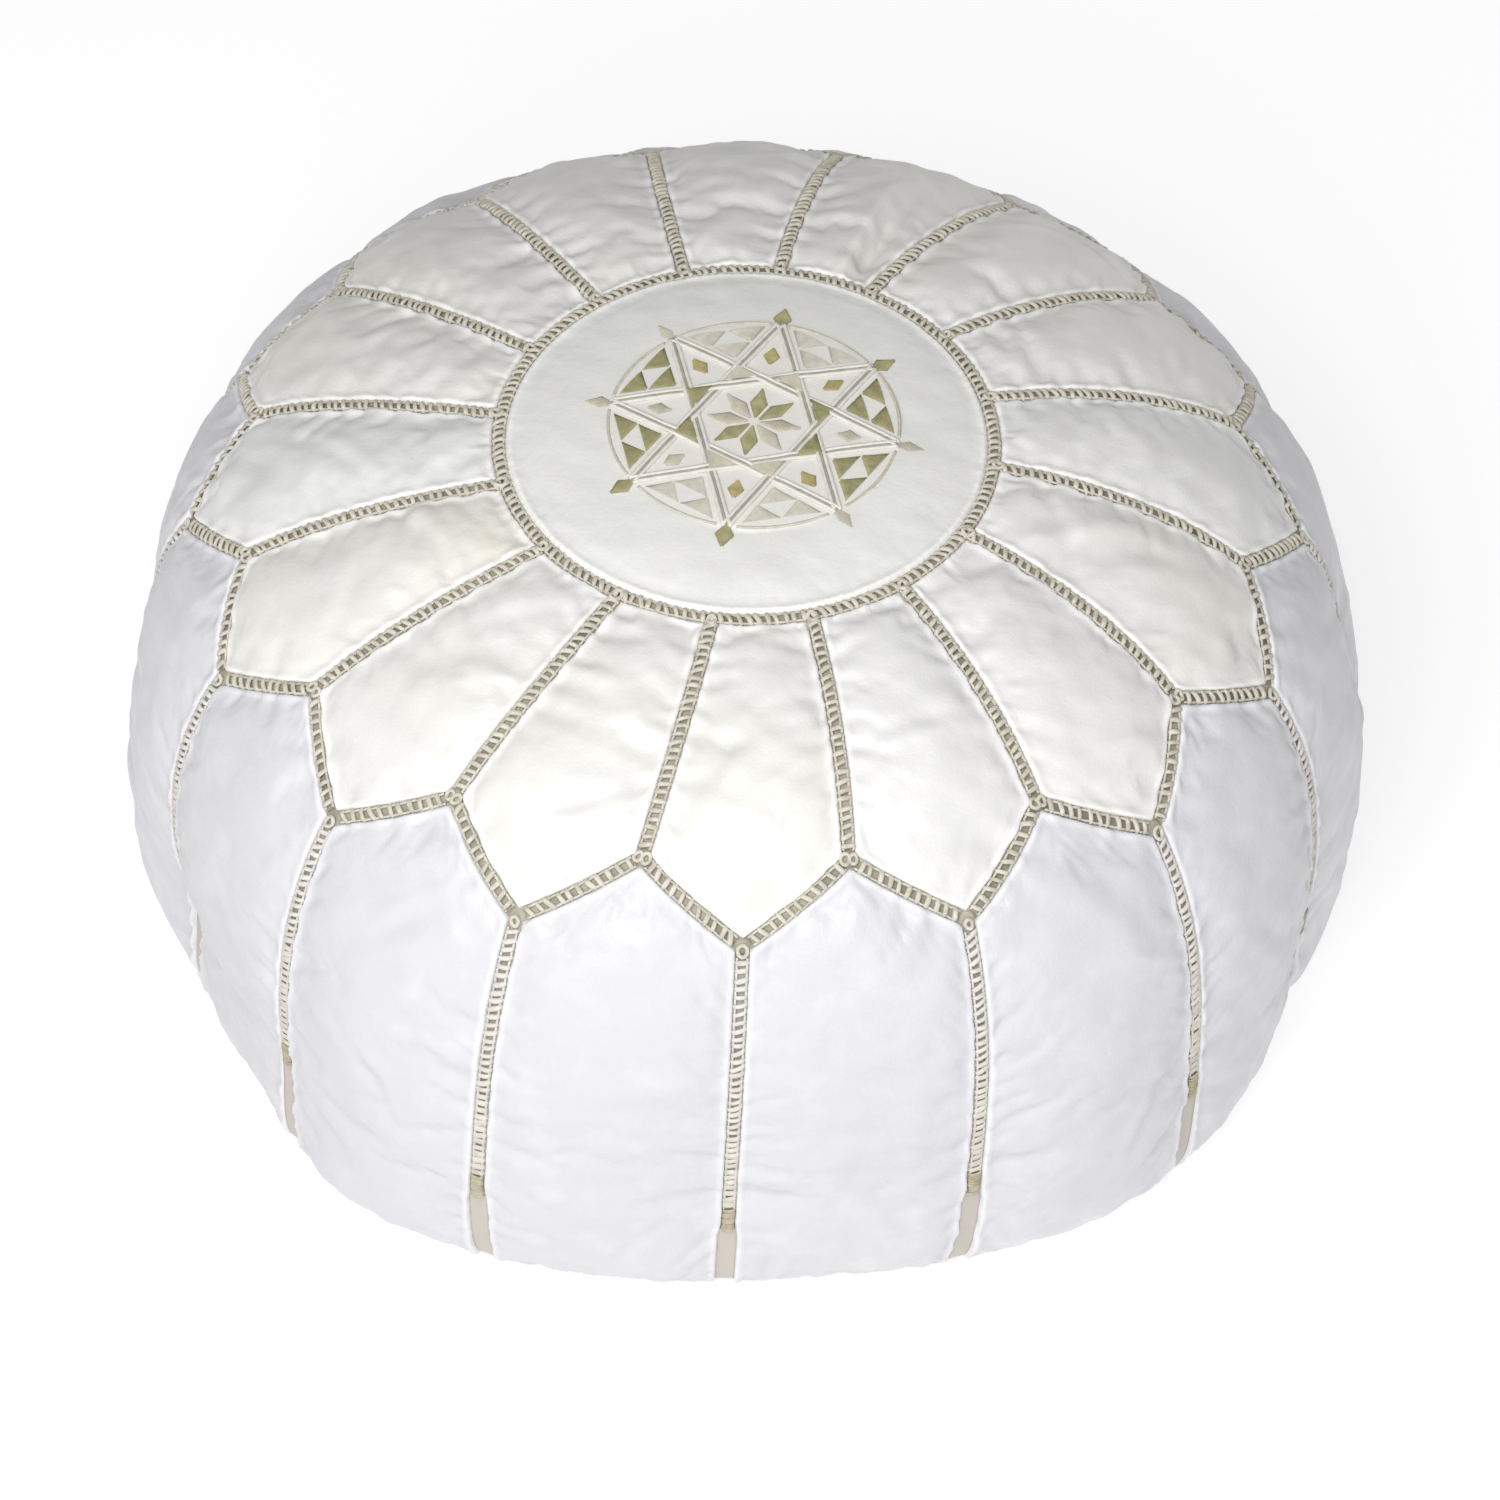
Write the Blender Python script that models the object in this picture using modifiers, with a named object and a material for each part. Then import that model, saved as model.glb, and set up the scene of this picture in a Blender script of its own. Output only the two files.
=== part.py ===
"""A round stitched-leather pouf, built from its separate pieces.

The cover is sewn from a top medallion, sixteen upper panels, sixteen lower panels and two base
halves. A flat leather strip is let in along every side seam, and waxed thread is whipped over it.
The base closes with a zip, which runs along X in a shallow recess, and a firm filling holds the
cover in shape.

The frame: metres, +Z up, the origin in the middle of the base, on the floor. -Y is the front.

The cover is described in two surface coordinates: an angle round the pouf, and a distance along
its outline from the middle of the top. The outline passes over the crowns of the panels, and the
seams lie in valleys below it.
"""

import math

import bmesh
import bpy
import numpy as np
from mathutils import Matrix

# Driving dimensions, in metres
RADIUS = 0.280  # at the widest point
WAIST_Z = 0.073  # height of the widest point
HEIGHT = 0.280  # at the middle of the top
FOOT_RADIUS = 0.2620  # where the sides turn under
CROWN_POWER = 3.0  # squareness of the upper outline; 2 would be an ellipse
PANELS = 16

# Places along the outline, each given by the height where the outline passes it
SHOULDER_Z = 0.2365  # upper ends of the V seams
APEX_Z = 0.2105  # lower points of the V seams
RING_RADIUS = 0.1082  # seam round the medallion

# The seams wind slightly round the pouf: angles at the ring, the shoulder, the waist and the floor
TWIST_DEGREES = (4.3, 0.75, -0.25, -0.7)

# The filling has settled, so the medallion sits a little forward of the middle of the base
SETTLE_Y = -0.0084

# Leather and seams
LEATHER = 0.0016
VALLEY = 0.0045  # depth of a seam below the crowns of its panels
FOOT_VALLEY = 0.0024  # the same at the floor, where the filling presses the seams out
STRIP_HALF = 0.0030  # half width of the strip let into a seam
STRIP_THICK = 0.0012
GAP = 0.0004  # clearance between neighbours
THREAD_HALF = 0.0037
THREAD_RISE = 0.0007  # underside of the stitching above the valley
THREAD_THICK = 0.0009
QUARTERS = 4  # the strips and their stitching are worked in four runs

# Base and zip
BASE_LEATHER = 0.0020
BASE_RADIUS = 0.2550
ZIP_LENGTH = 0.400
RECESS_LENGTH = 0.444  # full-width part of the recess
RECESS_TAPER = 0.022
RECESS_HALF = 0.0100
RECESS_LIFT = 0.0047
RECESS_SLOPE = 0.012  # width over which the leather rises into the recess
TAPE_Z = 0.0073
TAPE_THICK = 0.0006
TAPE_INNER = 0.0028
TAPE_OUTER = 0.0140
TOOTH_PITCH = 0.0080
TOOTH_INNER = 0.0006
TOOTH_OUTER = 0.0024
TOOTH_HALF_HEIGHT = 0.0013
STOP_LENGTH = 0.0030
SLIDER_LENGTH = 0.0120
SLIDER_HALF = 0.0048
SLIDER_PLATE = 0.0010
TAB_AXIS_Z = 0.0031
TAB_PIN_RADIUS = 0.0006
TAB_LENGTH = 0.0240
TAB_HALF = 0.0030
TAB_THICK = 0.0012
TAB_HOLE_HALF = 0.0016
ARCH_HALF_LENGTH = 0.0038
ARCH_BOTTOM_Z = 0.0013
ARCH_THICK = 0.0007
ARCH_HALF_WIDTH = 0.0010

# Filling
FILLING_INSET = 0.0085
FILLING_Z = 0.0032
GROOVE_HALF = 0.0250
GROOVE_TOP = 0.0125

# Medallion needlework: an eight-pointed star of straight runs, with a lozenge on each tip
STAR_POINTS = 8
STAR_STEP = 3
STAR_RADIUS = 0.068
STAR_TURN = math.radians(-10.0)
STAR_CENTRE = (0.003, 0.002)
STAR_RUN_HALF = 0.0007
STAR_THICK = 0.0006
LOZENGE_HALF = 0.0042

PITCH = 2.0 * math.pi / PANELS
FRONT = -0.5 * math.pi

LEATHER_WARM = (0.86, 0.83, 0.76, 1.0)
LEATHER_COOL = (0.83, 0.82, 0.83, 1.0)
STRIP_COLOUR = (0.60, 0.56, 0.50, 1.0)
THREAD_COLOUR = (0.76, 0.70, 0.58, 1.0)
NEEDLEWORK_COLOUR = (0.62, 0.58, 0.46, 1.0)
TAPE_COLOUR = (0.78, 0.76, 0.70, 1.0)
BRASS_COLOUR = (0.72, 0.55, 0.25, 1.0)
FILLING_COLOUR = (0.80, 0.78, 0.72, 1.0)


def clear_scene():
    for item in list(bpy.data.objects):
        bpy.data.objects.remove(item, do_unlink=True)


def new_collection(name):
    collection = bpy.data.collections.new(name)
    bpy.context.scene.collection.children.link(collection)
    return collection


def material(name, colour, roughness, metallic=0.0):
    """A plain Principled material."""
    made = bpy.data.materials.new(name)
    made.use_nodes = True
    shader = made.node_tree.nodes["Principled BSDF"]
    shader.inputs["Base Color"].default_value = colour
    shader.inputs["Roughness"].default_value = roughness
    shader.inputs["Metallic"].default_value = metallic
    made.diffuse_color = colour
    return made


# The outline of the cover


def outline_points(inset=0.0):
    """Radius and height of the outline, from the middle of the top to the floor."""
    radius = RADIUS - inset
    crown = HEIGHT - WAIST_Z - inset
    power = 2.0 / CROWN_POWER
    points = []
    for angle in np.linspace(0.0, 0.5 * math.pi, 161):
        across = radius * math.sin(angle) ** power
        up = WAIST_Z + crown * max(math.cos(angle), 0.0) ** power
        points.append((across, up))
    foot = FOOT_RADIUS - inset
    for angle in np.linspace(0.0, 0.5 * math.pi, 41)[1:]:
        across = foot + (radius - foot) * math.cos(angle)
        up = WAIST_Z * (1.0 - math.sin(angle))
        points.append((across, up))
    return np.array(points)


OUTLINE = outline_points()
OUTLINE_STEPS = np.hypot(*np.diff(OUTLINE, axis=0).T)
OUTLINE_RUN = np.concatenate(([0.0], np.cumsum(OUTLINE_STEPS)))
OUTLINE_END = float(OUTLINE_RUN[-1])


def outline_at(run):
    """Radius and height at a distance along the outline."""
    across = np.interp(run, OUTLINE_RUN, OUTLINE[:, 0])
    up = np.interp(run, OUTLINE_RUN, OUTLINE[:, 1])
    return float(across), float(up)


def outline_normal(run):
    """Outward direction (radial, vertical) at a distance along the outline."""
    reach = 0.003
    a = outline_at(max(run - reach, 0.0))
    b = outline_at(min(run + reach, OUTLINE_END))
    length = math.hypot(b[0] - a[0], b[1] - a[1])
    return (a[1] - b[1]) / length, (b[0] - a[0]) / length


def run_at_height(height):
    """Distance along the outline where it falls to a height."""
    return float(np.interp(-height, -OUTLINE[:, 1], OUTLINE_RUN))


RUN_RING = float(np.interp(RING_RADIUS, OUTLINE[:161, 0], OUTLINE_RUN[:161]))
RUN_SHOULDER = run_at_height(SHOULDER_Z)
RUN_APEX = run_at_height(APEX_Z)
RUN_WAIST = run_at_height(WAIST_Z)
RUN_FOOT = OUTLINE_END


def twist(run):
    """Angle by which the seams have wound round, in radians."""
    runs = (RUN_RING, RUN_SHOULDER, RUN_WAIST, RUN_FOOT)
    return math.radians(float(np.interp(run, runs, TWIST_DEGREES)))


def settle(run):
    """Distance forward by which the settled top has moved."""
    return SETTLE_Y * float(np.interp(run, (RUN_RING, RUN_SHOULDER), (1.0, 0.0)))


def valley(run):
    """Depth of a seam below the outline."""
    return float(np.interp(run, (RUN_WAIST, RUN_FOOT), (VALLEY, FOOT_VALLEY)))


def cover_point(angle, run, rise):
    """A point of the cover: angle from the front, distance along the outline, height above it."""
    across, up = outline_at(run)
    normal = outline_normal(run)
    across += normal[0] * rise
    up += normal[1] * rise
    turned = FRONT + angle + twist(run)
    return across * math.cos(turned), across * math.sin(turned) + settle(run), up


# Objects


def add_object(name, mesh, look, collection, smooth=True):
    made = bpy.data.objects.new(name, mesh)
    collection.objects.link(made)
    mesh.materials.append(look)
    if smooth:
        mesh.shade_smooth()
        mesh.set_sharp_from_angle(angle=math.radians(40.0))
    return made


def sheet(name, points, faces, look, collection, thickness):
    """An open surface made solid, with its thickness on the inner side."""
    mesh = bpy.data.meshes.new(name)
    mesh.from_pydata(points, [], faces)
    mesh.update()
    made = add_object(name, mesh, look, collection)
    solid = made.modifiers.new("Thickness", "SOLIDIFY")
    solid.thickness = thickness
    solid.offset = -1.0
    return made


def grid_faces(rows, columns, wrap=False):
    """Quads over a grid of points stored row by row."""
    faces = []
    for row in range(rows - 1):
        for column in range(columns if wrap else columns - 1):
            following = (column + 1) % columns
            faces.append(
                (
                    row * columns + column,
                    (row + 1) * columns + column,
                    (row + 1) * columns + following,
                    row * columns + following,
                )
            )
    return faces


def lathe(name, profile, steps, look, collection):
    """A turned shape about Z from (radius, height) points running down its outer side."""
    mesh = bpy.data.meshes.new(name)
    edges = [(i, i + 1) for i in range(len(profile) - 1)]
    mesh.from_pydata([(across, 0.0, up) for across, up in profile], edges, [])
    made = add_object(name, mesh, look, collection)
    screw = made.modifiers.new("Turn", "SCREW")
    screw.angle = 2.0 * math.pi
    screw.steps = steps
    screw.render_steps = steps
    screw.use_merge_vertices = True
    screw.merge_threshold = 0.00001
    screw.use_smooth_shade = True
    return made


def block(name, low, high, look, collection):
    """A box between two corners."""
    mesh = bpy.data.meshes.new(name)
    shape = bmesh.new()
    bmesh.ops.create_cube(shape, size=1.0)
    size = [b - a for a, b in zip(low, high)]
    centre = [0.5 * (a + b) for a, b in zip(low, high)]
    bmesh.ops.scale(shape, vec=size, verts=shape.verts)
    bmesh.ops.translate(shape, vec=centre, verts=shape.verts)
    shape.to_mesh(mesh)
    shape.free()
    return add_object(name, mesh, look, collection, smooth=False)


def as_cutter(item):
    item.hide_render = True
    item.display_type = "WIRE"
    return item


def boolean(item, other, operation):
    cut = item.modifiers.new(operation.title(), "BOOLEAN")
    cut.operation = operation
    cut.solver = "EXACT"
    cut.object = other


# Leather panels


def v_seam_run(offset):
    """Distance along the outline of a V seam, at an angle from the shoulder above it."""
    return RUN_SHOULDER + (RUN_APEX - RUN_SHOULDER) * abs(offset) / (0.5 * PITCH)


def v_seam_setback(half_width):
    """Distance along the outline that clears a V seam by a half width measured across it."""
    rise = RUN_APEX - RUN_SHOULDER
    middle = outline_at(0.5 * (RUN_APEX + RUN_SHOULDER))[0]
    return half_width * math.hypot(1.0, rise / (0.5 * PITCH * middle))


def pillow(u, v):
    """Fullness of a panel, from 0 on its edges to 1 in the middle; u and v run from 0 to 1."""
    across = 1.0 - abs(2.0 * u - 1.0) ** 2.5
    along = 1.0 - abs(2.0 * v - 1.0) ** 4.0
    return across * along


def panel(name, centre, top_run, bottom_run, look, collection, columns=7, rows=6):
    """A leather panel between two side seams; top_run and bottom_run give its ends."""
    edge = STRIP_HALF + GAP
    points = []
    for row in range(rows):
        v = row / (rows - 1)
        for column in range(columns):
            u = column / (columns - 1)
            share = 2.0 * u - 1.0
            top = top_run(share * 0.5 * PITCH)
            bottom = bottom_run(share * 0.5 * PITCH)
            run = top + (bottom - top) * v
            half = 0.5 * PITCH - edge / outline_at(run)[0]
            rise = -valley(run) * (1.0 - pillow(u, v))
            points.append(cover_point(centre + share * half, run, rise))
    return sheet(name, points, grid_faces(rows, columns), look, collection, LEATHER)


def upper_panels(look, collection):
    """Kite-ended panels between the medallion and the V seams, each with its point down."""
    edge = STRIP_HALF + GAP
    for index in range(PANELS):
        panel(
            f"upper_panel_{index + 1:02d}",
            index * PITCH,
            lambda offset: RUN_RING + edge,
            lambda offset: v_seam_run(0.5 * PITCH - abs(offset)) - v_seam_setback(edge),
            look,
            collection,
        )


def lower_panels(look, collection):
    """House-shaped panels between the V seams and the floor, staggered by half a pitch."""
    edge = STRIP_HALF + GAP
    for index in range(PANELS):
        panel(
            f"lower_panel_{index + 1:02d}",
            (index + 0.5) * PITCH,
            lambda offset: v_seam_run(offset) + v_seam_setback(edge),
            lambda offset: RUN_FOOT - 0.0005,
            look,
            collection,
            rows=7,
        )


def medallion_rise(run):
    """Height of the medallion above the outline; it dips into the seam round it."""
    edge = RUN_RING - STRIP_HALF - GAP
    return -VALLEY * (run / edge) ** 6.0


def medallion(look, collection):
    edge = RUN_RING - STRIP_HALF - GAP
    outer = []
    for run in np.linspace(0.0, edge, 8):
        across, up = outline_at(run)
        normal = outline_normal(run) if run > 0.0 else (0.0, 1.0)
        rise = medallion_rise(run)
        outer.append((across + normal[0] * rise, up + normal[1] * rise))
    outer[0] = (0.0, outer[0][1])
    inner = [(across, up - LEATHER) for across, up in reversed(outer)]
    disc = lathe("top_medallion", outer + inner, 40, look, collection)
    disc.location = (0.0, SETTLE_Y, 0.0)


# Seam strips and their stitching


def ring(name, half_width, rise, thickness, look, collection, steps=48):
    """A flat band round the seam of the medallion."""
    points = []
    for side in (-half_width, half_width):
        for step in range(steps):
            angle = 2.0 * math.pi * step / steps
            points.append(cover_point(angle, RUN_RING + side, rise))
    faces = grid_faces(2, steps, wrap=True)
    return sheet(name, points, faces, look, collection, thickness)


class Net:
    """A run of flat bands that follows the radial, V and lower seams of some panels."""

    def __init__(self, half_width, rise):
        self.half = half_width
        self.rise = rise
        self.points = []
        self.faces = []

    def corner(self, angle, across, run):
        """A point to one side of a seam, across metres from the angle."""
        turned = angle + across / outline_at(run)[0]
        self.points.append(cover_point(turned, run, self.rise - valley(run)))
        return len(self.points) - 1, angle, across, run

    def band(self, first, second, pieces):
        """Quads between two pairs of corners, each pair left then right for a band running down."""
        left, right = first
        for piece in range(1, pieces + 1):
            share = piece / pieces
            if piece == pieces:
                following = second
            else:
                following = []
                for a, b in zip(first, second):
                    place = [p + (q - p) * share for p, q in zip(a[1:], b[1:])]
                    following.append(self.corner(*place))
            self.faces.append((left[0], following[0][0], following[1][0], right[0]))
            left, right = following

    def shoulder(self, angle):
        """The joint of a radial seam and two V seams: left, right and bottom corners."""
        slope = v_seam_setback(1.0)
        side = RUN_SHOULDER + self.half * (math.sqrt(slope**2 - 1.0) - slope)
        left = self.corner(angle, -self.half, side)
        right = self.corner(angle, self.half, side)
        bottom = self.corner(angle, 0.0, RUN_SHOULDER + self.half * slope)
        self.faces.append((left[0], bottom[0], right[0]))
        return left, right, bottom

    def apex(self, angle):
        """The joint of two V seams and a lower seam: top, left and right corners."""
        slope = v_seam_setback(1.0)
        side = RUN_APEX - self.half * (math.sqrt(slope**2 - 1.0) - slope)
        top = self.corner(angle, 0.0, RUN_APEX - self.half * slope)
        left = self.corner(angle, -self.half, side)
        right = self.corner(angle, self.half, side)
        self.faces.append((top[0], left[0], right[0]))
        return top, left, right


def seam_net(name, first_panel, panels, half_width, rise, thickness, foot_run, look, collection):
    """The strip or the stitching along the seams of some neighbouring panels."""
    net = Net(half_width, rise)
    open_end = 2.0 * half_width + GAP
    top_run = RUN_RING + THREAD_HALF + 2.0 * GAP
    for index in range(panels):
        angle = (first_panel + index) * PITCH
        if index == 0:
            top, left, right = net.apex(angle)
        foot = (net.corner(angle, -half_width, foot_run), net.corner(angle, half_width, foot_run))
        net.band((left, right), foot, 6)
        shoulder_left, shoulder_right, bottom = net.shoulder(angle + 0.5 * PITCH)
        head = (
            net.corner(angle + 0.5 * PITCH, -half_width, top_run),
            net.corner(angle + 0.5 * PITCH, half_width, top_run),
        )
        net.band(head, (shoulder_left, shoulder_right), 4)
        net.band((shoulder_left, bottom), (top, right), 2)
        following = angle + PITCH
        if index < panels - 1:
            top, left, right = net.apex(following)
            net.band((bottom, shoulder_right), (left, top), 2)
        else:
            slope = v_seam_setback(1.0)
            end = 1.0 - open_end / (0.5 * PITCH * RADIUS)
            across = angle + PITCH * (0.5 + 0.5 * end)
            run = v_seam_run(0.5 * PITCH * end)
            upper = net.corner(across, 0.0, run - half_width * slope)
            lower = net.corner(across, 0.0, run + half_width * slope)
            net.band((bottom, shoulder_right), (lower, upper), 2)
    return sheet(name, net.points, net.faces, look, collection, thickness)


def seams(strip_look, thread_look, collection):
    share = PANELS // QUARTERS
    for quarter in range(QUARTERS):
        seam_net(
            f"seam_strip_{quarter + 1}",
            quarter * share,
            share,
            STRIP_HALF,
            0.0,
            STRIP_THICK,
            RUN_FOOT - 0.0015,
            strip_look,
            collection,
        )
        seam_net(
            f"seam_stitching_{quarter + 1}",
            quarter * share,
            share,
            THREAD_HALF,
            THREAD_RISE + THREAD_THICK,
            THREAD_THICK,
            RUN_WAIST,
            thread_look,
            collection,
        )
    ring("medallion_strip", STRIP_HALF, -VALLEY, STRIP_THICK, strip_look, collection)
    rise = THREAD_RISE + THREAD_THICK - VALLEY
    ring("medallion_stitching", THREAD_HALF, rise, THREAD_THICK, thread_look, collection)


def base_stitching(look, collection):
    """The thread that closes the base onto the lower panels."""
    inner = BASE_RADIUS + 0.0005
    outer = FOOT_RADIUS - 0.0020
    low = 0.0005
    high = 0.0020
    corners = [(outer, high), (outer, low), (inner, low), (inner, high), (outer, high)]
    lathe("base_stitching", corners, 64, look, collection)


# Needlework on the medallion


def medallion_height(x, y):
    """Height of the medallion's face at a place."""
    across = math.hypot(x, y - SETTLE_Y)
    run = float(np.interp(across, OUTLINE[:161, 0], OUTLINE_RUN[:161]))
    return outline_at(run)[1] + medallion_rise(run)


def star_tip(index):
    angle = FRONT + STAR_TURN + 2.0 * math.pi * index / STAR_POINTS
    x = STAR_CENTRE[0] + STAR_RADIUS * math.cos(angle)
    y = STAR_CENTRE[1] + STAR_RADIUS * math.sin(angle)
    return x, y


def star_run(index, clearance, look, collection):
    """One straight run of the star, following the crown of the medallion."""
    a = star_tip(index)
    b = star_tip(index + STAR_STEP)
    length = math.hypot(b[0] - a[0], b[1] - a[1])
    side = (-(b[1] - a[1]) / length * STAR_RUN_HALF, (b[0] - a[0]) / length * STAR_RUN_HALF)
    points = []
    pieces = 8
    for piece in range(pieces + 1):
        share = piece / pieces
        x = a[0] + (b[0] - a[0]) * share
        y = a[1] + (b[1] - a[1]) * share
        z = medallion_height(x, y) + clearance + STAR_THICK
        points.append((x + side[0], y + side[1], z))
        points.append((x - side[0], y - side[1], z))
    name = f"star_run_{index + 1}"
    return sheet(name, points, grid_faces(pieces + 1, 2), look, collection, STAR_THICK)


def needlework(look, collection, cutters):
    """The star, joined with its eight lozenges into one worked piece."""
    first = star_run(0, 0.0005, look, collection)
    first.name = "medallion_needlework"
    for index in range(1, STAR_POINTS):
        clearance = 0.0005 + 0.00002 * index
        boolean(first, as_cutter(star_run(index, clearance, look, cutters)), "UNION")
    for index in range(STAR_POINTS):
        x, y = star_tip(index)
        z = medallion_height(x, y) + 0.0007
        lozenge = block(
            f"lozenge_{index + 1}",
            (-LOZENGE_HALF, -0.6 * LOZENGE_HALF, 0.0),
            (LOZENGE_HALF, 0.6 * LOZENGE_HALF, STAR_THICK),
            look,
            cutters,
        )
        lozenge.location = (x, y, z)
        lozenge.rotation_euler = (0.0, 0.0, FRONT + STAR_TURN + 2.0 * math.pi * index / STAR_POINTS)
        boolean(first, as_cutter(lozenge), "UNION")


# Base and zip


def smooth_step(value):
    value = min(max(value, 0.0), 1.0)
    return value * value * (3.0 - 2.0 * value)


def recess_share(x):
    """1 along the zip, falling to 0 beyond its ends, where the base halves meet."""
    return smooth_step((0.5 * RECESS_LENGTH + RECESS_TAPER - abs(x)) / RECESS_TAPER)


def base_panel(name, side, look, collection, columns=25, rows=9):
    """Half of the base: flat on the floor, rising to the tape along the zip.

    The first rows of points, nearest the zip, make the slope.
    """
    points = []
    slope_rows = 4
    inner_end = 0.97 * BASE_RADIUS
    for row in range(rows):
        for column in range(columns):
            share = column / (columns - 1)
            x_inner = inner_end * (1.0 - 2.0 * share)
            y_inner = GAP + (RECESS_HALF - GAP) * recess_share(x_inner)
            angle = math.pi * share
            x_outer = BASE_RADIUS * math.cos(angle)
            y_outer = GAP + (BASE_RADIUS - GAP) * math.sin(angle)
            near = RECESS_SLOPE / max(y_outer - y_inner, RECESS_SLOPE)
            if row < slope_rows:
                along = near * row / slope_rows
            else:
                along = near + (1.0 - near) * (row - slope_rows) / (rows - 1 - slope_rows)
            x = x_inner + (x_outer - x_inner) * along
            y = y_inner + (y_outer - y_inner) * along
            rise = 1.0 - smooth_step((y - y_inner) / RECESS_SLOPE)
            points.append((x, side * y, RECESS_LIFT * rise * recess_share(x)))
    faces = grid_faces(rows, columns)
    if side > 0.0:
        faces = [tuple(reversed(face)) for face in faces]
    return sheet(name, points, faces, look, collection, BASE_LEATHER)


def zip_tape(name, side, look, collection):
    ends = sorted((side * TAPE_INNER, side * TAPE_OUTER))
    low = (-0.5 * RECESS_LENGTH, ends[0], TAPE_Z - 0.5 * TAPE_THICK)
    high = (0.5 * RECESS_LENGTH, ends[1], TAPE_Z + 0.5 * TAPE_THICK)
    return block(name, low, high, look, collection)


def zip_teeth(name, side, look, collection):
    """A comb of teeth on a thin spine at the edge of the tape."""
    half = 0.5 * ZIP_LENGTH
    spine = TOOTH_OUTER - 0.0006
    outline = [(-half, TOOTH_OUTER), (-half, spine)]
    count = int(round(ZIP_LENGTH / TOOTH_PITCH))
    for index in range(count):
        start = -half + index * TOOTH_PITCH + 0.25 * TOOTH_PITCH
        outline.append((start, spine))
        outline.append((start, TOOTH_INNER))
        outline.append((start + 0.5 * TOOTH_PITCH, TOOTH_INNER))
        outline.append((start + 0.5 * TOOTH_PITCH, spine))
    outline += [(half, spine), (half, TOOTH_OUTER)]
    z = TAPE_Z - TOOTH_HALF_HEIGHT
    height = 2.0 * TOOTH_HALF_HEIGHT
    return prism(name, [(x, side * y, z) for x, y in outline], (0.0, 0.0, height), look, collection)


def prism(name, outline, direction, look, collection):
    """A flat outline pushed along a direction."""
    mesh = bpy.data.meshes.new(name)
    shape = bmesh.new()
    face = shape.faces.new([shape.verts.new(point) for point in outline])
    pushed = bmesh.ops.extrude_face_region(shape, geom=[face])
    moved = [item for item in pushed["geom"] if isinstance(item, bmesh.types.BMVert)]
    bmesh.ops.translate(shape, vec=direction, verts=moved)
    bmesh.ops.recalc_face_normals(shape, faces=shape.faces)
    shape.to_mesh(mesh)
    shape.free()
    return add_object(name, mesh, look, collection, smooth=False)


def zip_stop(name, end, look, collection):
    """A clamped bar that stops the slider at one end of the teeth."""
    near = 0.5 * ZIP_LENGTH + GAP
    ends = sorted((end * near, end * (near + STOP_LENGTH)))
    half = TAPE_INNER - GAP
    low = (ends[0], -half, TAPE_Z - TOOTH_HALF_HEIGHT)
    high = (ends[1], half, TAPE_Z + TOOTH_HALF_HEIGHT)
    return block(name, low, high, look, collection)


def slider_x():
    """Middle of the slider when the zip is closed."""
    return 0.5 * ZIP_LENGTH - 0.5 * SLIDER_LENGTH - GAP


def zip_slider(look, collection, cutters):
    """Two plates round the teeth, joined by a web between them, with an arch for the pull tab."""
    teeth = TOOTH_HALF_HEIGHT + GAP
    slit = 0.5 * TAPE_THICK + GAP
    rim = TOOTH_OUTER + GAP + 0.0007
    web = TOOTH_INNER - GAP + 0.00005
    right = [
        (web, -teeth),
        (rim, -teeth),
        (rim, -slit),
        (SLIDER_HALF, -slit),
        (SLIDER_HALF, -teeth - SLIDER_PLATE),
    ]
    lower_half = right + [(-y, z) for y, z in reversed(right)]
    upper_half = [(-y, -z) for y, z in lower_half]
    start = slider_x() - 0.5 * SLIDER_LENGTH
    section = [(start, y, TAPE_Z + z) for y, z in lower_half + upper_half]
    body = prism("zip_slider", section, (SLIDER_LENGTH, 0.0, 0.0), look, collection)
    plate_z = TAPE_Z - teeth - 0.5 * SLIDER_PLATE
    outer = block(
        "arch_outside",
        (slider_x() - ARCH_HALF_LENGTH, -ARCH_HALF_WIDTH, ARCH_BOTTOM_Z),
        (slider_x() + ARCH_HALF_LENGTH, ARCH_HALF_WIDTH, plate_z),
        look,
        cutters,
    )
    inner = block(
        "arch_inside",
        (slider_x() - ARCH_HALF_LENGTH + ARCH_THICK, -0.01, ARCH_BOTTOM_Z + ARCH_THICK),
        (slider_x() + ARCH_HALF_LENGTH - ARCH_THICK, 0.01, TAPE_Z - teeth - SLIDER_PLATE),
        look,
        cutters,
    )
    boolean(outer, as_cutter(inner), "DIFFERENCE")
    boolean(body, as_cutter(outer), "UNION")
    return body


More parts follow.
